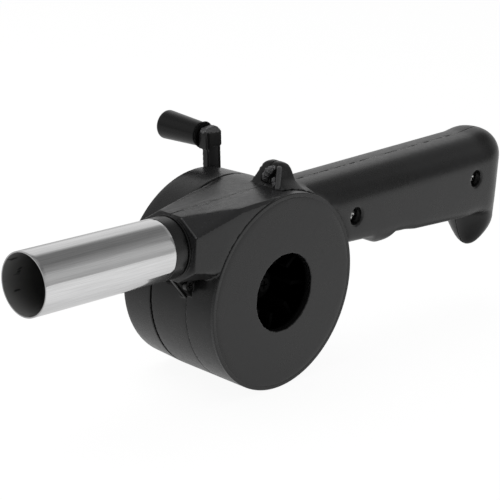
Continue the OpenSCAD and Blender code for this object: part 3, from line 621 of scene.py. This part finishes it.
def plain_metal(name, colour, roughness, brushing):
    """Plated or turned metal with fine tool marks and a little tarnish."""
    recipe = Recipe(name)
    tarnish = recipe.cloud(300, 3)
    marks = recipe.cloud(2400, 2, (1, brushing, 1))
    base = recipe.mix(recipe.step(tarnish, 0.4, 0.75), colour, shade(colour, 0.72))
    dull = recipe.step(marks, 0.3, 0.7, roughness - 0.06, roughness + 0.08)
    recipe.relief(marks, 0.006 * MM)
    return recipe.finish(base, dull, {"Metallic": 1.0})


def gear_nylon(colour):
    """Pale nylon with grease in its low places."""
    recipe = Recipe("gear nylon")
    grease = recipe.step(recipe.cloud(210, 3), 0.45, 0.65)
    base = recipe.mix(grease, colour, shade(colour, 0.6))
    dull = recipe.step(grease, 0, 1, 0.48, 0.24)
    recipe.relief(recipe.cloud(1200, 2), 0.012 * MM)
    return recipe.finish(base, dull, {"IOR": 1.53})


FINISHES = {}


def finish(name):
    """The named finish, mixed once from the panel's settings."""
    if name in FINISHES:
        return FINISHES[name]
    plastic = bpy.context.scene.blower_plastic
    metal = bpy.context.scene.blower_metal
    shell, rotor, arm = plastic.shell_colour, plastic.rotor_colour, plastic.arm_colour
    rough, rub = plastic.shell_roughness, plastic.edge_wear
    # Name, colour, roughness, specks, edge wear and highlight, grain, wave, streaks, gloss.
    plastics = {
        "shell": ("shell plastic", shell, rough, 0.35, rub, 0.018, 0.04, 0.55),
        # Painted shade: shell faces in the fan chamber, on the web's tab and in the cover gap take
        # the impeller's near-black colour.
        "inside": ("shell inside", rotor, 0.65, 0.1, 0.0, 0.02, 0.04, 0, 0.15),
        "cover": ("cover plastic", plastic.cover_colour, rough - 0.03, 0.25, rub, 0.018, 0.04),
        "torn": ("torn plastic", shade(shell, 8), 0.34, 1.0, 0.9, 0.06, 0.08, 0, 0.8),
        # Painted light: a lighter copy of the shell plastic on the duct's end face, its near upper
        # bevel, the lug's foot and the intake rim's bevel.
        "dusty": ("dusty plastic", shade(shell, 2.4), rough, 0.6, 0.3, 0.02, 0.06),
        # Painted light: a lighter copy of the arm plastic on the right of the channel's floor.
        "arm_painted_light": ("worn arm", shade(arm, 3.2), 0.36, 0.4, 0.3, 0.02, 0.05),
        # Painted highlight: a lighter plastic for the round edges along the duct's end and the lug,
        # with some worn plastic.
        "rubbed": ("rubbed plastic", shade(shell, 5), 0.30, 0.3, 0.9, 0.02, 0.04, 0, 0.8),
        "arm": ("arm plastic", arm, 0.30, 0.25, 0.35, 0.012, 0.02),
        "ring": ("ring plastic", rotor, 0.60, 0.1, 0.0, 0.03, 0.03, 0, 0.2),
        "knob": ("knob plastic", plastic.knob_colour, 0.27, 0.08, 0.2, 0.004, 0.01),
        # The impeller is near-black and dull: black plastic with painted shade of the chamber.
        "impeller": ("impeller plastic", rotor, 0.7, 0.1, 0.0, 0.02, 0.02, 0, 0.05)}
    # Name, colour, roughness, stretch of the tool marks.
    metals = {
        "screw": ("zinc screws", metal.screw_colour, 0.20, 0.2),
        # Blackened steel, and painted shade for the web screw in its recess.
        "dark_screw": ("blackened shaded screws", metal.dark_screw_colour, 0.38, 0.2),
        # Painted shade: the fan's screw in the chamber is made near-black.
        "black_screw": ("black shaded screws", shade(metal.dark_screw_colour, 0.07), 0.5, 0.2),
        "steel": ("ground steel", metal.shaft_colour, 0.28, 0.1),
        "bush": ("sintered bronze", metal.bush_colour, 0.42, 1.0)}
    others = {
        "nylon": (gear_nylon, plastic.gear_colour), "tube": (polished_tube, metal.tube_colour),
        "tube_inner": (dull_tube, metal.tube_inner_colour)}
    if name in plastics:
        FINISHES[name] = moulded_plastic(*plastics[name])
    elif name in metals:
        FINISHES[name] = plain_metal(*metals[name])
    else:
        maker, colour = others[name]
        FINISHES[name] = maker(colour)
    return FINISHES[name]


# ---- pieces

def dress(piece, finish_name, chosen):
    """Gives the faces that pass the test a second finish."""
    piece.data.materials.append(finish(finish_name))
    last = len(piece.data.materials) - 1
    for face in piece.data.polygons:
        if chosen(face.center, face.normal):
            face.material_index = last


def is_painted_shade(place, normal):
    """True where painted shade goes: in the fan chamber, on the web's tab and in the gap before the
    cover.
    """
    radius = hypot(place.x, place.z)
    chamber = CHAMBER_FRONT < place.y < CHAMBER_BACK and radius < CHAMBER_RADIUS
    web = radius > TAB_RADIUS and place.x < TAB_HIGH.x and TAB_LOW.z < place.z < TAB_HIGH.z
    tab = web and (TAB_LOW.y < place.y < TAB_HIGH.y or place.y > WEB_LIT_Y)
    return chamber or tab or is_gap_shade(place, normal)


def is_gap_shade(place, normal):
    # Faces in the gap before the cover, which take painted shade.
    return GAP_LOW < place.y < GAP_HIGH and abs(normal.y) > 0.5 and place.z < GAP_DARK_Z


def is_painted_light(place, normal):
    """True where painted light goes: on the duct's end face, on its long upper bevel at the near
    side, and at the lug's foot.
    """
    end = place.x < DUCT_END and normal.x < -0.8 and place.x > DUCT_END - 0.5 * MM
    bevel = place.x < DUCT_TOP_END and normal.y < -0.4 and 0.55 < normal.z < 0.9
    return end or (bevel and place.y < SEAM_Y) or within(place, FOOT_LOW, FOOT_HIGH)


# Faces of the intake rim's bevel, which take painted light.
def is_bevel(place, normal):
    return normal.y > -0.8


def reshape(mesh, *changes):
    """Moves a mesh's points by functions of their x, y and z in millimetres."""
    for change in changes:
        x, y, z = read_points(mesh).T / MM
        write_points(mesh, np.stack(change(x, y, z), axis=1) * MM)


def open_gap(x, y, z):
    """Widens the gap between housing and cover a little, as both edges are worn back."""
    more = GAP_MORE * (np.hypot(x, z) > GAP_RADIUS) * (1 - ramp(z, *GAP_FADE_Z))
    for face, way in zip(GAP_FACES, (-1, 1)):
        y = y + way * more * (abs(y - face / MM) < CRISP_REACH / MM / 2)
    return x, y, z


def shape_grip(x, y, z):
    """Fills out the grip's shoulder, underside and hook, the lug and the duct's wall."""
    rear = ramp(x, *REAR_X) * ramp(z, *REAR_Z)
    under = ramp(x, *UNDER_START_X) * (1 - ramp(x, *UNDER_END_X)) * (1 - ramp(z, *UNDER_Z))
    lug = between(x, LUG_X) * ramp(z, *LUG_Z)
    new_x = x + LUG_PUSH * ramp(x, *LUG_PUSH_X) * lug
    new_z = z + REAR_LIFT * rear - UNDER_DROP * under + LUG_LIFT * lug
    rim, seam = np.hypot(x, z), SEAM_Y / MM
    foot = between(x, LUG_FOOT_X) & between(y, LUG_FOOT_Y) & (rim > DRUM_RADIUS + LUG_FOOT_HEIGHT)
    y = y - LUG_FOOT_PUSH * foot * (1 - ramp(rim - DRUM_RADIUS, *LUG_FOOT_FADE))

    # The hook's root is flush with the grip's side, so points there move out from the middle.
    from_end = np.maximum(x - GRIP_END_X, 0)
    reach = np.hypot(from_end, y - seam)
    hook = ramp(x, *HOOK_X) * ramp(z, *HOOK_LOW_Z) * (1 - ramp(z, *HOOK_HIGH_Z))
    short = np.maximum(GRIP_HALF - HOOK_MARGIN - reach, 0)
    wanted = reach + hook * (reach / GRIP_HALF) ** 2 * short
    grow = np.where(reach > 1, wanted / np.maximum(reach, 1), 1)
    y = seam + (y - seam) * grow
    new_x = np.where(from_end > 0, GRIP_END_X + from_end * grow, new_x)

    wall = between(y, WALL_Y) & (rim > WALL_RADIUS) & (z > WALL_LOW_Z) & (x < 0)
    return new_x, y - WALL_PUSH * wall * ramp(x, *WALL_X), new_z


def make_room(x, y, z):
    """Sinks the skin under the turned disc rim and the turned collar."""
    rim = np.hypot(x, z)
    low = np.where(rim < RIM_END, RIM_SINK * ramp(rim, *RIM_SPAN), -1)
    y = np.where(y < RIM_DEPTH, np.maximum(y, low), y)
    side = np.where((y < SIDE_DEPTH) & between(rim, SIDE_SPAN), SIDE_RADIUS / rim, 1)
    x, z = x * side, z * side
    from_y, from_z = y - SEAM_Y / MM, z - nozzle_middle()[1] / MM
    reach = np.hypot(from_y, from_z)
    groove = between(x, GROOVE_X) & between(reach, GROOVE_SPAN)
    sink = groove * (1 - GROOVE_SPAN[0] / reach)
    return x, y - from_y * sink, z - from_z * sink


def nozzle_middle():
    """Y and Z of the nozzle tube's axis."""
    low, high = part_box("nozzle_tube")
    return (low.y + high.y) / 2, (low.z + high.z) / 2


class BLOWER_OT_shells(bpy.types.Operator):
    """Lay worn skins over the two housing halves"""
    bl_idname = "blower.shells"
    bl_label = "Housing halves"

    def execute(self, context):
        shape = context.scene.blower_shape
        for node in ("near_shell", "far_shell"):
            skin = worn_skin(node, shape.shell_grain, shape.shell_passes)
            crisp_lines(skin.data, node)
            reshape(skin.data, open_gap, shape_grip, make_room)
            for passes, low, high in SOFT_ZONES:
                melt(skin.data, in_box(read_points(skin.data), low, high), passes)
            hang(skin, "shell", node)
            # Painted shade on the faces in the fan chamber, on the web's tab and in the gap before
            # the cover.
            dress(skin, "inside", is_painted_shade)
            # Painted light on the duct's end face, its near upper bevel and the lug's foot.
            dress(skin, "dusty", is_painted_light)
            roughen(skin, POCKET_LOW, POCKET_HIGH, 0.30 * MM, 900)
            even_normals(skin.data)
        return {"FINISHED"}


class BLOWER_OT_lug_lumps(bpy.types.Operator):
    """Set the torn lumps of plastic in the lug's pocket"""
    bl_idname = "blower.lug_lumps"
    bl_label = "Torn lumps"

    def execute(self, context):
        shape = bmesh.new()
        for index, (place, reach) in enumerate(LUG_LUMPS):
            made = bmesh.ops.create_icosphere(shape, subdivisions=4, radius=1)["verts"]
            centre = Vector(place)
            for vertex in made:
                spot = vertex.co + Vector((7 * index, 0, 0))
                lift = 1 + 0.34 * noise.noise(spot * 2.1) + 0.26 * noise.noise(spot * 5.3)
                vertex.co = (centre + lift * Vector(a * b for a, b in zip(vertex.co, reach))) * MM
        lumps = made_piece(shape, "torn_lumps", outward=False)
        hang(lumps, "torn")
        return {"FINISHED"}


class BLOWER_OT_highlight_edges(bpy.types.Operator):
    """Lay the round edges of duct and lug, lighter as a painted highlight with some worn plastic"""
    bl_idname = "blower.rubbed_edges"
    bl_label = "Highlight edges"

    def execute(self, context):
        for name, first, last, radius in HIGHLIGHT_EDGES:
            start, way = Vector(first), Vector(last) - Vector(first)
            side = way.cross(Vector((0, 0, 1))).normalized()
            up, rings = side.cross(way).normalized(), []
            for step in range(41):
                share = step / 40
                end = min(share, 1 - share) * way.length / radius
                swell = sqrt(max(0.004, 1 - (1 - min(1, end)) ** 2))
                swell *= 1 + 0.05 * noise.noise(Vector((share * 9, 3.1, 0)))
                rings.append((radius * swell, share))

            def to_place(reach, share, angle):
                out = side * cos(angle) + up * sin(angle)
                return (start + way * share + out * reach) * MM

            edge = turned_piece(name, rings, 24, to_place, closed=True)
            hang(edge, "rubbed")
        return {"FINISHED"}


class BLOWER_OT_disc_rim(bpy.types.Operator):
    """Turn the crisp rim of the intake face"""
    bl_idname = "blower.disc_rim"
    bl_label = "Intake face rim"

    def execute(self, context):
        rim = turned_piece("intake_rim", DISC_RINGS + DISC_RINGS[:1], 320, around("Y", 0, 0, MM))
        hang(rim, "shell")
        # Painted light on the rim's bevel faces.
        dress(rim, "dusty", is_bevel)
        even_normals(rim.data)
        return {"FINISHED"}


class BLOWER_OT_collar(bpy.types.Operator):
    """Turn the collar's crisp outline, with its groove and the low pad behind it"""
    bl_idname = "blower.collar"
    bl_label = "Collar"

    def execute(self, context):
        trim = turned_piece("collar_turned", COLLAR_RINGS + COLLAR_RINGS[:1], 160,
                            around("X", *nozzle_middle(), MM))
        hang(trim, "shell")
        even_normals(trim.data)
        return {"FINISHED"}


class BLOWER_OT_flash(bpy.types.Operator):
    """Run a thin uneven fin of plastic along the drum's parting line"""
    bl_idname = "blower.flash"
    bl_label = "Parting fin"

    def execute(self, context):
        half = context.scene.blower_shape.flash_width / 2
        outer, root = FIN_RADIUS * MM, FIN_ROOT * MM
        first, last = radians(FIN_START), radians(FIN_END)
        shape = bmesh.new()
        rows = []
        for step in range(FIN_STEPS + 1):
            angle = first + (last - first) * step / FIN_STEPS
            way = Vector((cos(angle), 0, sin(angle)))
            ragged = noise.noise(way * 34 + Vector((3.1, 0, 0)))
            middle = SEAM_Y + 0.10 * MM * noise.noise(way * 14)
            tip = outer - 0.16 * MM * max(0.0, 0.5 + ragged)
            low = tip - 0.12 * MM
            rows.append([shape.verts.new(way * reach + Vector((0, middle + side * half, 0)))
                         for side, reach in ((-1, root), (-1, low), (-0.4, tip), (0.4, tip),
                                             (1, low), (1, root))])
        join_rows(shape, rows, closed=True)
        fin = made_piece(shape, "parting_fin")
        hang(fin, "shell")
        return {"FINISHED"}


def bead_runs(first, last, gaps):
    """Stations along X in metres, broken where the noise leaves the seam open."""
    runs, run = [], []
    steps = round((last - first) / BEAD_STEP)
    for step in range(steps + 1):
        x = first + (last - first) * step / steps
        if noise.noise(Vector((x * 0.31, 4.7, 0))) > gaps - 0.5:
            run.append(x * MM)
        else:
            runs.append(run)
            run = []
    return [run for run in (*runs, run) if len(run) > 1]


class BLOWER_OT_bead(bpy.types.Operator):
    """Lay the welded bead that nearly closes the seam along the top of duct and grip"""
    bl_idname = "blower.bead"
    bl_label = "Seam bead"

    def execute(self, context):
        near, far = surface_tree("near_shell"), surface_tree("far_shell")
        down, sky = Vector((0, 0, -1)), 80 * MM
        half, sunk, thick = BEAD_HALF * MM, BEAD_SUNK * MM, BEAD_THICK * MM
        shape = bmesh.new()
        for run in bead_runs(-46, -5, -1) + bead_runs(20, 134, 0.34):
            rows = []
            for x in run:
                tops = []
                for tree, side in ((near, -half), (far, half)):
                    hit = tree.ray_cast(Vector((x, SEAM_Y + side, sky)), down)[0]
                    tops.append(Vector((x, SEAM_Y + side, hit.z - sunk)))
                lows = [top + down * thick for top in reversed(tops)]
                rows.append([shape.verts.new(place) for place in tops + lows])
            join_rows(shape, rows, closed=True)
        bead = made_piece(shape, "seam_bead", smooth=False)
        hang(bead, "shell")
        return {"FINISHED"}


class BLOWER_OT_cover(bpy.types.Operator):
    """Lay a worn skin over the gear cover"""
    bl_idname = "blower.cover"
    bl_label = "Gear cover"

    def execute(self, context):
        shape = context.scene.blower_shape
        skin = worn_skin("gear_cover", shape.shell_grain, shape.shell_passes)
        crisp_lines(skin.data, "gear_cover")
        reshape(skin.data, open_gap)
        even_normals(skin.data)
        hang(skin, "cover", "gear_cover", slot="cover")
        # Painted shade on the cover's faces in the gap before the housing.
        dress(skin, "inside", is_gap_shade)
        return {"FINISHED"}


class BLOWER_OT_tube(bpy.types.Operator):
    """Turn the nozzle tube with its rounded lips and dull inner wall"""
    bl_idname = "blower.tube"
    bl_label = "Nozzle tube"

    def execute(self, context):
        low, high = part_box("nozzle_tube")
        middle, outer = nozzle_middle(), (high.y - low.y) / 2
        inner = outer - TUBE_WALL
        length = high.x - low.x - 2 * TUBE_LIP
        shares = [step / TUBE_STEPS for step in range(TUBE_STEPS + 1)]
        rings = [(inner, high.x - TUBE_LIP - length * share) for share in shares]
        rings += [(inner + part * TUBE_WALL, low.x + depth * MM) for part, depth in LIP]
        rings += [(outer, low.x + TUBE_LIP + length * share) for share in shares]
        rings += [(inner + part * TUBE_WALL, high.x - depth * MM) for part, depth in LIP[::-1]]
        tube = turned_piece("nozzle_tube_rolled", rings + rings[:1], 128, around("X", *middle))
        hang(tube, "tube", "nozzle_tube", slot="tube")
        dress(tube, "tube_inner", lambda place, normal: hypot(
            place.y - middle[0], place.z - middle[1]) < inner + 0.08 * MM)
        return {"FINISHED"}


class BLOWER_OT_arm(bpy.types.Operator):
    """Lay a worn skin with pits over the crank arm"""
    bl_idname = "blower.arm"
    bl_label = "Crank arm"

    def execute(self, context):
        shape = context.scene.blower_shape
        skin = worn_skin("crank_arm", shape.small_grain, shape.small_passes)
        self.shape_arm(skin.data)
        hang(skin, "arm", "crank_arm", body="crank", slot="arm")
        roughen(skin, PITS_LOW, PITS_HIGH, 0.26 * MM, 1100, 0.3 * MM)
        dress(skin, "torn", self.is_torn)
        # Painted light on the right part of the channel's floor.
        dress(skin, "arm_painted_light", self.is_arm_painted_light)
        even_normals(skin.data)
        return {"FINISHED"}

    def is_torn(self, place, normal):
        """True on the pitted slope at the top of the arm's head."""
        lift = 0.9 * MM * noise.noise(place * 700)
        return place.z + lift > 54.6 * MM and place.y < 57.5 * MM

    def is_arm_painted_light(self, place, normal):
        """True on the right part of the channel's floor, which takes painted light."""
        channel = ARM_FRONT + 0.1 * MM < place.y < ARM_BACK and normal.y < -0.5
        middle = ARM_FOOT.x + (ARM_HEAD.x - ARM_FOOT.x) * (place.z - ARM_FOOT.z) / ARM_HEAD.z
        return channel and place.z < 50 * MM and place.x > middle - 0.5 * MM

    def shape_arm(self, mesh):
        """Slopes the channel's floor up to its right flange and grooves the head's front."""
        length = (ARM_HEAD - ARM_FOOT).length
        way = (ARM_HEAD - ARM_FOOT) / length
        points = read_points(mesh)
        x, y, z = points.T
        from_x, from_z = x - ARM_FOOT.x, z - ARM_FOOT.z
        run = (from_x * way.x + from_z * way.z) / MM
        across = (from_x * way.z - from_z * way.x) / MM + ARM_HALF
        front = y < ARM_BACK
        inside = between(across, (CHANNEL_EDGE, 2 * ARM_HALF - CHANNEL_EDGE))
        channel = front & between(run, CHANNEL_RUN) & inside
        floor = ARM_FRONT + (CHANNEL_DEPTH - CHANNEL_RISE * ramp(across, *CHANNEL_SLOPE)) * MM
        y = np.where(channel, np.minimum(y, floor), y)
        slope = HEAD_SLOPE * np.clip(z / MM - HEAD_LOW_Z, 0, HEAD_LENGTH) * (run > HEAD_RUN)
        y = np.where(front, np.maximum(y, ARM_FRONT + slope * MM), y)
        head = (y < ARM_FRONT + HEAD_FACE * MM) & (run > HEAD_RUN)
        notch = NOTCH_DEPTH * np.exp(-((across - NOTCH_MIDDLE) / NOTCH_WIDTH) ** 2)
        points[:, 1] = y + np.where(head, notch * (1 - ramp(run, *NOTCH_FADE)), 0) * MM
        write_points(mesh, points)
        melt(mesh, channel, CHANNEL_PASSES)
        melt(mesh, head & between(across, NOTCH_SPAN), NOTCH_PASSES)


class BLOWER_OT_knob(bpy.types.Operator):
    """Turn the knob, and the ragged ring between knob and arm"""
    bl_idname = "blower.knob"
    bl_label = "Knob and ring"

    def execute(self, context):
        low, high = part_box("crank_knob")
        x, z = (low.x + high.x) / 2, (low.z + high.z) / 2
        rim = (high.x - low.x) / 2
        neck, start, end = 5.2 * MM, low.y, high.y
        bore, cup, cup_depth = 2.05 * MM, 3.5 * MM, 3.0 * MM
        cup_floor = end - max(cup_depth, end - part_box("knob_pin")[1].y + 2.2 * MM)
        outline = [(bore, cup_floor), (bore, start + 0.2 * MM), (bore + 0.25 * MM, start)]
        outline += rounded_corner((neck - 0.5 * MM, start + 0.5 * MM), 0.5 * MM, 270, 360, 6)
        outline += [(neck + (rim - neck) * step / 30,
                     start + 0.5 * MM + (end - start - 2.1 * MM) * step / 30)
                    for step in range(1, 30)]
        outline += rounded_corner((rim - 1.4 * MM, end - 1.4 * MM), 1.4 * MM, 2, 90, 12)
        outline += [(cup + 0.9 * MM, end), (cup + 0.3 * MM, end)]
        outline += rounded_corner((cup + 0.3 * MM, end - 0.3 * MM), 0.3 * MM, 90, 180, 4)[1:]
        outline += [(cup, cup_floor + 0.3 * MM), (cup - 0.2 * MM, cup_floor), (bore, cup_floor)]

        knob = turned_piece("crank_knob_turned", outline, 96, around("Y", x, z))
        hang(knob, "knob", "crank_knob", body="knob", slot="knob")

        low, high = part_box("knob_ring")
        reach, thick = (high.x - low.x) / 2, high.y - low.y
        rows = [(bore, low.y + thick * share) for share in (1.0, 0.5, 0.0)]
        rows += [(bore + (reach - 2.3 * MM) * step / 8, low.y) for step in range(1, 9)]
        rows += rounded_corner((reach - thick / 2, low.y + thick / 2), thick / 2, 280, 440, 14)
        rows += [(bore + (reach - 2.3 * MM) * step / 8, high.y) for step in range(8, 0, -1)]
        ring = turned_piece("knob_ring_torn", rows + rows[:1], 110, around("Y", x, z))
        for vertex in ring.data.vertices:
            away = Vector((vertex.co.x - x, 0, vertex.co.z - z))
            share = max(0.0, away.length / reach - 0.55) / 0.45
            tear = noise.noise(vertex.co * 1300) + 0.6 * noise.noise(vertex.co * 3100)
            vertex.co -= away.normalized() * share * 0.42 * MM * (0.35 + tear) * (tear > -0.35)
        ring.data.update()
        hang(ring, "ring", "knob_ring", body="crank", slot="knob")
        return {"FINISHED"}


def wear_nodes(**finishes):
    """Gives CAD nodes that stay as they are their finish."""
    for finish_name, nodes in finishes.items():
        for node in nodes.split():
            wear(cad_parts[node], finish_name)


class BLOWER_OT_fan(bpy.types.Operator):
    """Finish the impeller and the parts that carry it"""
    bl_idname = "blower.fan"
    bl_label = "Impeller group"

    def execute(self, context):
        # The impeller's finish carries painted shade of the chamber.
        wear_nodes(impeller="impeller", steel="fan_shaft fan_washer", bush="fan_bush")
        return {"FINISHED"}


class BLOWER_OT_gears(bpy.types.Operator):
    """Finish the gear train inside the cover"""
    bl_idname = "blower.gears"
    bl_label = "Gear train"

    def execute(self, context):
        wear_nodes(nylon="idler_gear drive_gear", bush="inner_crank_bush outer_crank_bush",
                   steel="fan_pinion idler_axle idler_washers crank_shaft gear_pin")
        return {"FINISHED"}


def pan_head(reach, height):
    """Rings (radius, height) of a domed screw head, from its middle out and down to its seat."""
    dome = height * 0.62
    rings = [(reach * 0.8 * step / 12, -height - 0.10 * dome * (1 - (step / 12) ** 2))
             for step in range(1, 12)]
    rings += [(reach * (0.8 + 0.2 * sin(radians(turn))),
               -height + dome * (1 - cos(radians(turn)))) for turn in range(0, 91, 10)]
    return rings + [(reach, -0.1), (reach - 0.1, 0)]


class BLOWER_OT_grip_screws(bpy.types.Operator):
    """Turn the two bright pan head screws in the grip, with their cross slots"""
    bl_idname = "blower.grip_screws"
    bl_label = "Grip screws"

    def execute(self, context):
        rings = pan_head(GRIP_HEAD_RADIUS, GRIP_HEAD_HEIGHT)
        rings += [(GRIP_SHANK_RADIUS, 0), (GRIP_SHANK_RADIUS, 0.4)]
        length = GRIP_SCREW_END - GRIP_SCREW_SEAT
        turns = round(length / THREAD_PITCH)
        rings += [(GRIP_SHANK_RADIUS - THREAD_DEPTH * (step % 2),
                   THREAD_PITCH + (length - 1.6) * step / turns) for step in range(turns)]
        rings += [(GRIP_SHANK_RADIUS * 0.9, length - 1), (0.3, length)]
        for index, (x, z) in enumerate(GRIP_SCREWS):
            def to_place(radius, height, angle):
                across, upward = radius * cos(angle), radius * sin(angle)
                slot = min(abs(across), abs(upward)) < SLOT_HALF and radius < SLOT_REACH
                sunk = SLOT_DEPTH * (1 - radius / SLOT_TAPER) if slot and height < 0 else 0
                return Vector((x + across, GRIP_SCREW_SEAT + height + sunk, z + upward)) * MM

            screw = turned_piece("grip_screw_%d" % (index + 1), rings, 64, to_place, closed=True)
            hang(screw, "screw", "grip_screws", slot="screw")
        return {"FINISHED"}


class BLOWER_OT_screws(bpy.types.Operator):
    """Finish the other screws and the knob's pin"""
    bl_idname = "blower.screws"
    bl_label = "Screws"

    def execute(self, context):
        # The web screw's and fan screw's dark finishes are painted shade.
        wear_nodes(screw="cover_screws arm_screw knob_pin", dark_screw="web_screw lug_screw",
                   black_screw="fan_screw")
        return {"FINISHED"}


# ---- stage

class BLOWER_OT_stage(bpy.types.Operator):
    """Set the floor, the soft studio light and the camera"""
    bl_idname = "blower.stage"
    bl_label = "Stage"

    def execute(self, context):
        scene = context.scene
        scene.view_settings.view_transform = "Standard"
        self.light_sky(scene)
        self.lay_floor(scene.blower_stage.floor_drop)
        self.hang_card()
        self.hang_lamp(scene, scene.blower_stage.lamp_power)
        self.place_camera(scene, scene.blower_stage)
        return {"FINISHED"}

    def light_sky(self, scene):
        """A soft grey sky, which the camera sees as white."""
        world = bpy.data.worlds.new("studio")
        nodes = Nodes(world)
        nodes.tree.nodes.clear()
        place = nodes.read("ShaderNodeTexCoord", "Generated")
        parts = nodes.parts(place)
        greys = nodes.add("ShaderNodeValToRGB", {"Fac": nodes.step(parts["Z"], -1, 1)})
        stops = greys.color_ramp.elements
        while len(stops) < len(SKY):
            stops.new(0.5)
        for stop, (height, grey) in zip(stops, SKY):
            stop.position = (height + 1) / 2
            stop.color = (grey, grey, grey, 1)
        level = nodes.sum("ADD", nodes.vector("DOT_PRODUCT", place, SKY_SIDE), SKY_LEVEL)
        dark = nodes.product(*(nodes.step(parts[axis], *span) for axis, *span in SKY_DARK))
        strength = nodes.product(level, nodes.sum("SUBTRACT", 1, dark))
        soft = nodes.add("ShaderNodeBackground",
                         {"Color": greys.outputs["Color"], "Strength": strength})
        white = nodes.add("ShaderNodeBackground", {"Color": (1, 1, 1)})
        seen = nodes.read("ShaderNodeLightPath", "Is Camera Ray")
        nodes.add("ShaderNodeOutputWorld", {"Surface": nodes.blend(seen, soft, white)})
        scene.world = world

    def lay_floor(self, height):
        """A pale paper floor, white to the camera and grey in what the piece reflects."""
        shape = bmesh.new()
        bmesh.ops.create_grid(shape, x_segments=24, y_segments=24, size=6)
        floor = made_piece(shape, "studio_floor", outward=False, smooth=False)
        floor.location.z = height
        paper = bpy.data.materials.new("white paper")
        nodes = Nodes(paper)
        shader = nodes.tree.nodes["Principled BSDF"]
        nodes.set(shader, "Base Color", nodes.step(nodes.noise(scale=180), 0, 1, *PAPER_TONES))
        nodes.set(shader, "Roughness", 0.9)
        nodes.set(shader, "Specular IOR Level", 0.0)
        spot = nodes.read("ShaderNodeNewGeometry", "Position")
        fall = nodes.step(nodes.vector("DOT_PRODUCT", spot, FLOOR_WAY), *FLOOR_FALL)
        from_hook = nodes.vector("SUBTRACT", spot, HOOK_SHADE)
        from_hook = nodes.vector("MULTIPLY", from_hook, HOOK_SQUEEZE)
        dim = nodes.step(nodes.vector("LENGTH", from_hook), *HOOK_FALL, kind="SMOOTHSTEP")
        rays = nodes.add("ShaderNodeLightPath", {}).outputs
        seen = rays["Is Camera Ray"]
        bright = nodes.sum("MAXIMUM", nodes.product(fall, dim), nodes.product(seen, CAMERA_WHITE))
        lit = nodes.sum("MAXIMUM", seen, rays["Is Glossy Ray"])
        lit = nodes.sum("MAXIMUM", lit, rays["Is Transmission Ray"])
        share = nodes.product(lit, nodes.step(seen, 0, 1, *FLOOR_SHARES))
        glow = nodes.add("ShaderNodeEmission", {"Strength": bright})
        nodes.show(nodes.blend(share, shader, glow))
        floor.data.materials.append(paper)

    def hang_card(self):
        """Stands a dark card beside the camera's view, for the dark band along the grip."""
        shape = bmesh.new()
        bmesh.ops.create_grid(shape, x_segments=8, y_segments=16, size=0.5)
        across = Vector((CARD_X, CARD_Y, 0)).normalized()
        for vertex in shape.verts:
            place = vertex.co.copy()
            bow = CARD_BOW * cos(pi * place.x)
            vertex.co = CARD_MIDDLE + across * place.x * CARD_WIDTH
            vertex.co += Vector((CARD_Y * bow, -CARD_X * bow, place.y * CARD_HEIGHT))
        card = made_piece(shape, "dark_card", outward=False, smooth=False)
        for name in ("visible_camera", "visible_diffuse", "visible_shadow", "visible_transmission"):
            setattr(card, name, False)
        felt = bpy.data.materials.new("dark felt")
        nodes = Nodes(felt)
        tone = nodes.step(nodes.noise(scale=60), 0, 1, *CARD_TONES)
        nodes.show(nodes.add("ShaderNodeEmission", {"Strength": tone}).outputs[0])
        card.data.materials.append(felt)

    def hang_lamp(self, scene, power):
        lamp = bpy.data.lights.new("soft_top", "AREA")
        lamp.shape = "RECTANGLE"
        lamp.size = lamp.size_y = LAMP_SIZE
        lamp.energy = power
        holder = bpy.data.objects.new("soft_top", lamp)
        scene.collection.objects.link(holder)
        holder.visible_glossy = False
        holder.location = LAMP_PLACE
        holder.rotation_euler = (-LAMP_PLACE).to_track_quat("-Z", "Y").to_euler()

    def place_camera(self, scene, stage):
        lens = bpy.data.cameras.new("photo_camera")
        lens.sensor_width = 36
        lens.lens = stage.camera_lens
        lens.clip_start, lens.clip_end = 0.02, 20
        camera = bpy.data.objects.new("photo_camera", lens)
        scene.collection.objects.link(camera)
        camera.matrix_world = Matrix.Translation(stage.camera_place) @ Matrix.Rotation(
            stage.camera_azimuth, 4, "Z") @ Matrix.Rotation(
            pi / 2 - stage.camera_elevation, 4, "X") @ Matrix.Rotation(
            stage.camera_roll, 4, "Z")
        scene.camera = camera


class BLOWER_PT_panel(bpy.types.Panel):
    """Lists the blower's operators and settings"""
    bl_idname = "BLOWER_PT_panel"
    bl_label = "Forge Blower"
    bl_space_type = "VIEW_3D"
    bl_region_type = "UI"
    bl_category = "Blower"

    def draw(self, context):
        for step in STEPS:
            self.layout.operator(step.bl_idname, text=step.bl_label)
        for group_name in GROUPS:
            group, box = getattr(context.scene, group_name), self.layout.box()
            for name in group.__annotations__:
                box.prop(group, name)


STEPS = (BLOWER_OT_shells, BLOWER_OT_lug_lumps, BLOWER_OT_highlight_edges, BLOWER_OT_disc_rim,
         BLOWER_OT_flash, BLOWER_OT_bead, BLOWER_OT_collar, BLOWER_OT_cover, BLOWER_OT_tube,
         BLOWER_OT_arm, BLOWER_OT_knob, BLOWER_OT_fan, BLOWER_OT_gears, BLOWER_OT_grip_screws,
         BLOWER_OT_screws, BLOWER_OT_stage)
GROUPS = {"blower_plastic": BlowerPlasticSettings, "blower_metal": BlowerMetalSettings,
          "blower_shape": BlowerShapeSettings, "blower_stage": BlowerStageSettings}


def register():
    for group in (*GROUPS.values(), *STEPS, BLOWER_PT_panel):
        bpy.utils.register_class(group)
    for name, group in GROUPS.items():
        setattr(bpy.types.Scene, name, PointerProperty(type=group))


def unregister():
    for name in GROUPS:
        delattr(bpy.types.Scene, name)
    for group in reversed((*GROUPS.values(), *STEPS, BLOWER_PT_panel)):
        bpy.utils.unregister_class(group)


def main():
    register()
    for step in STEPS:
        getattr(bpy.ops.blower, step.bl_idname.split(".")[1])()


if __name__ == "__main__":
    main()
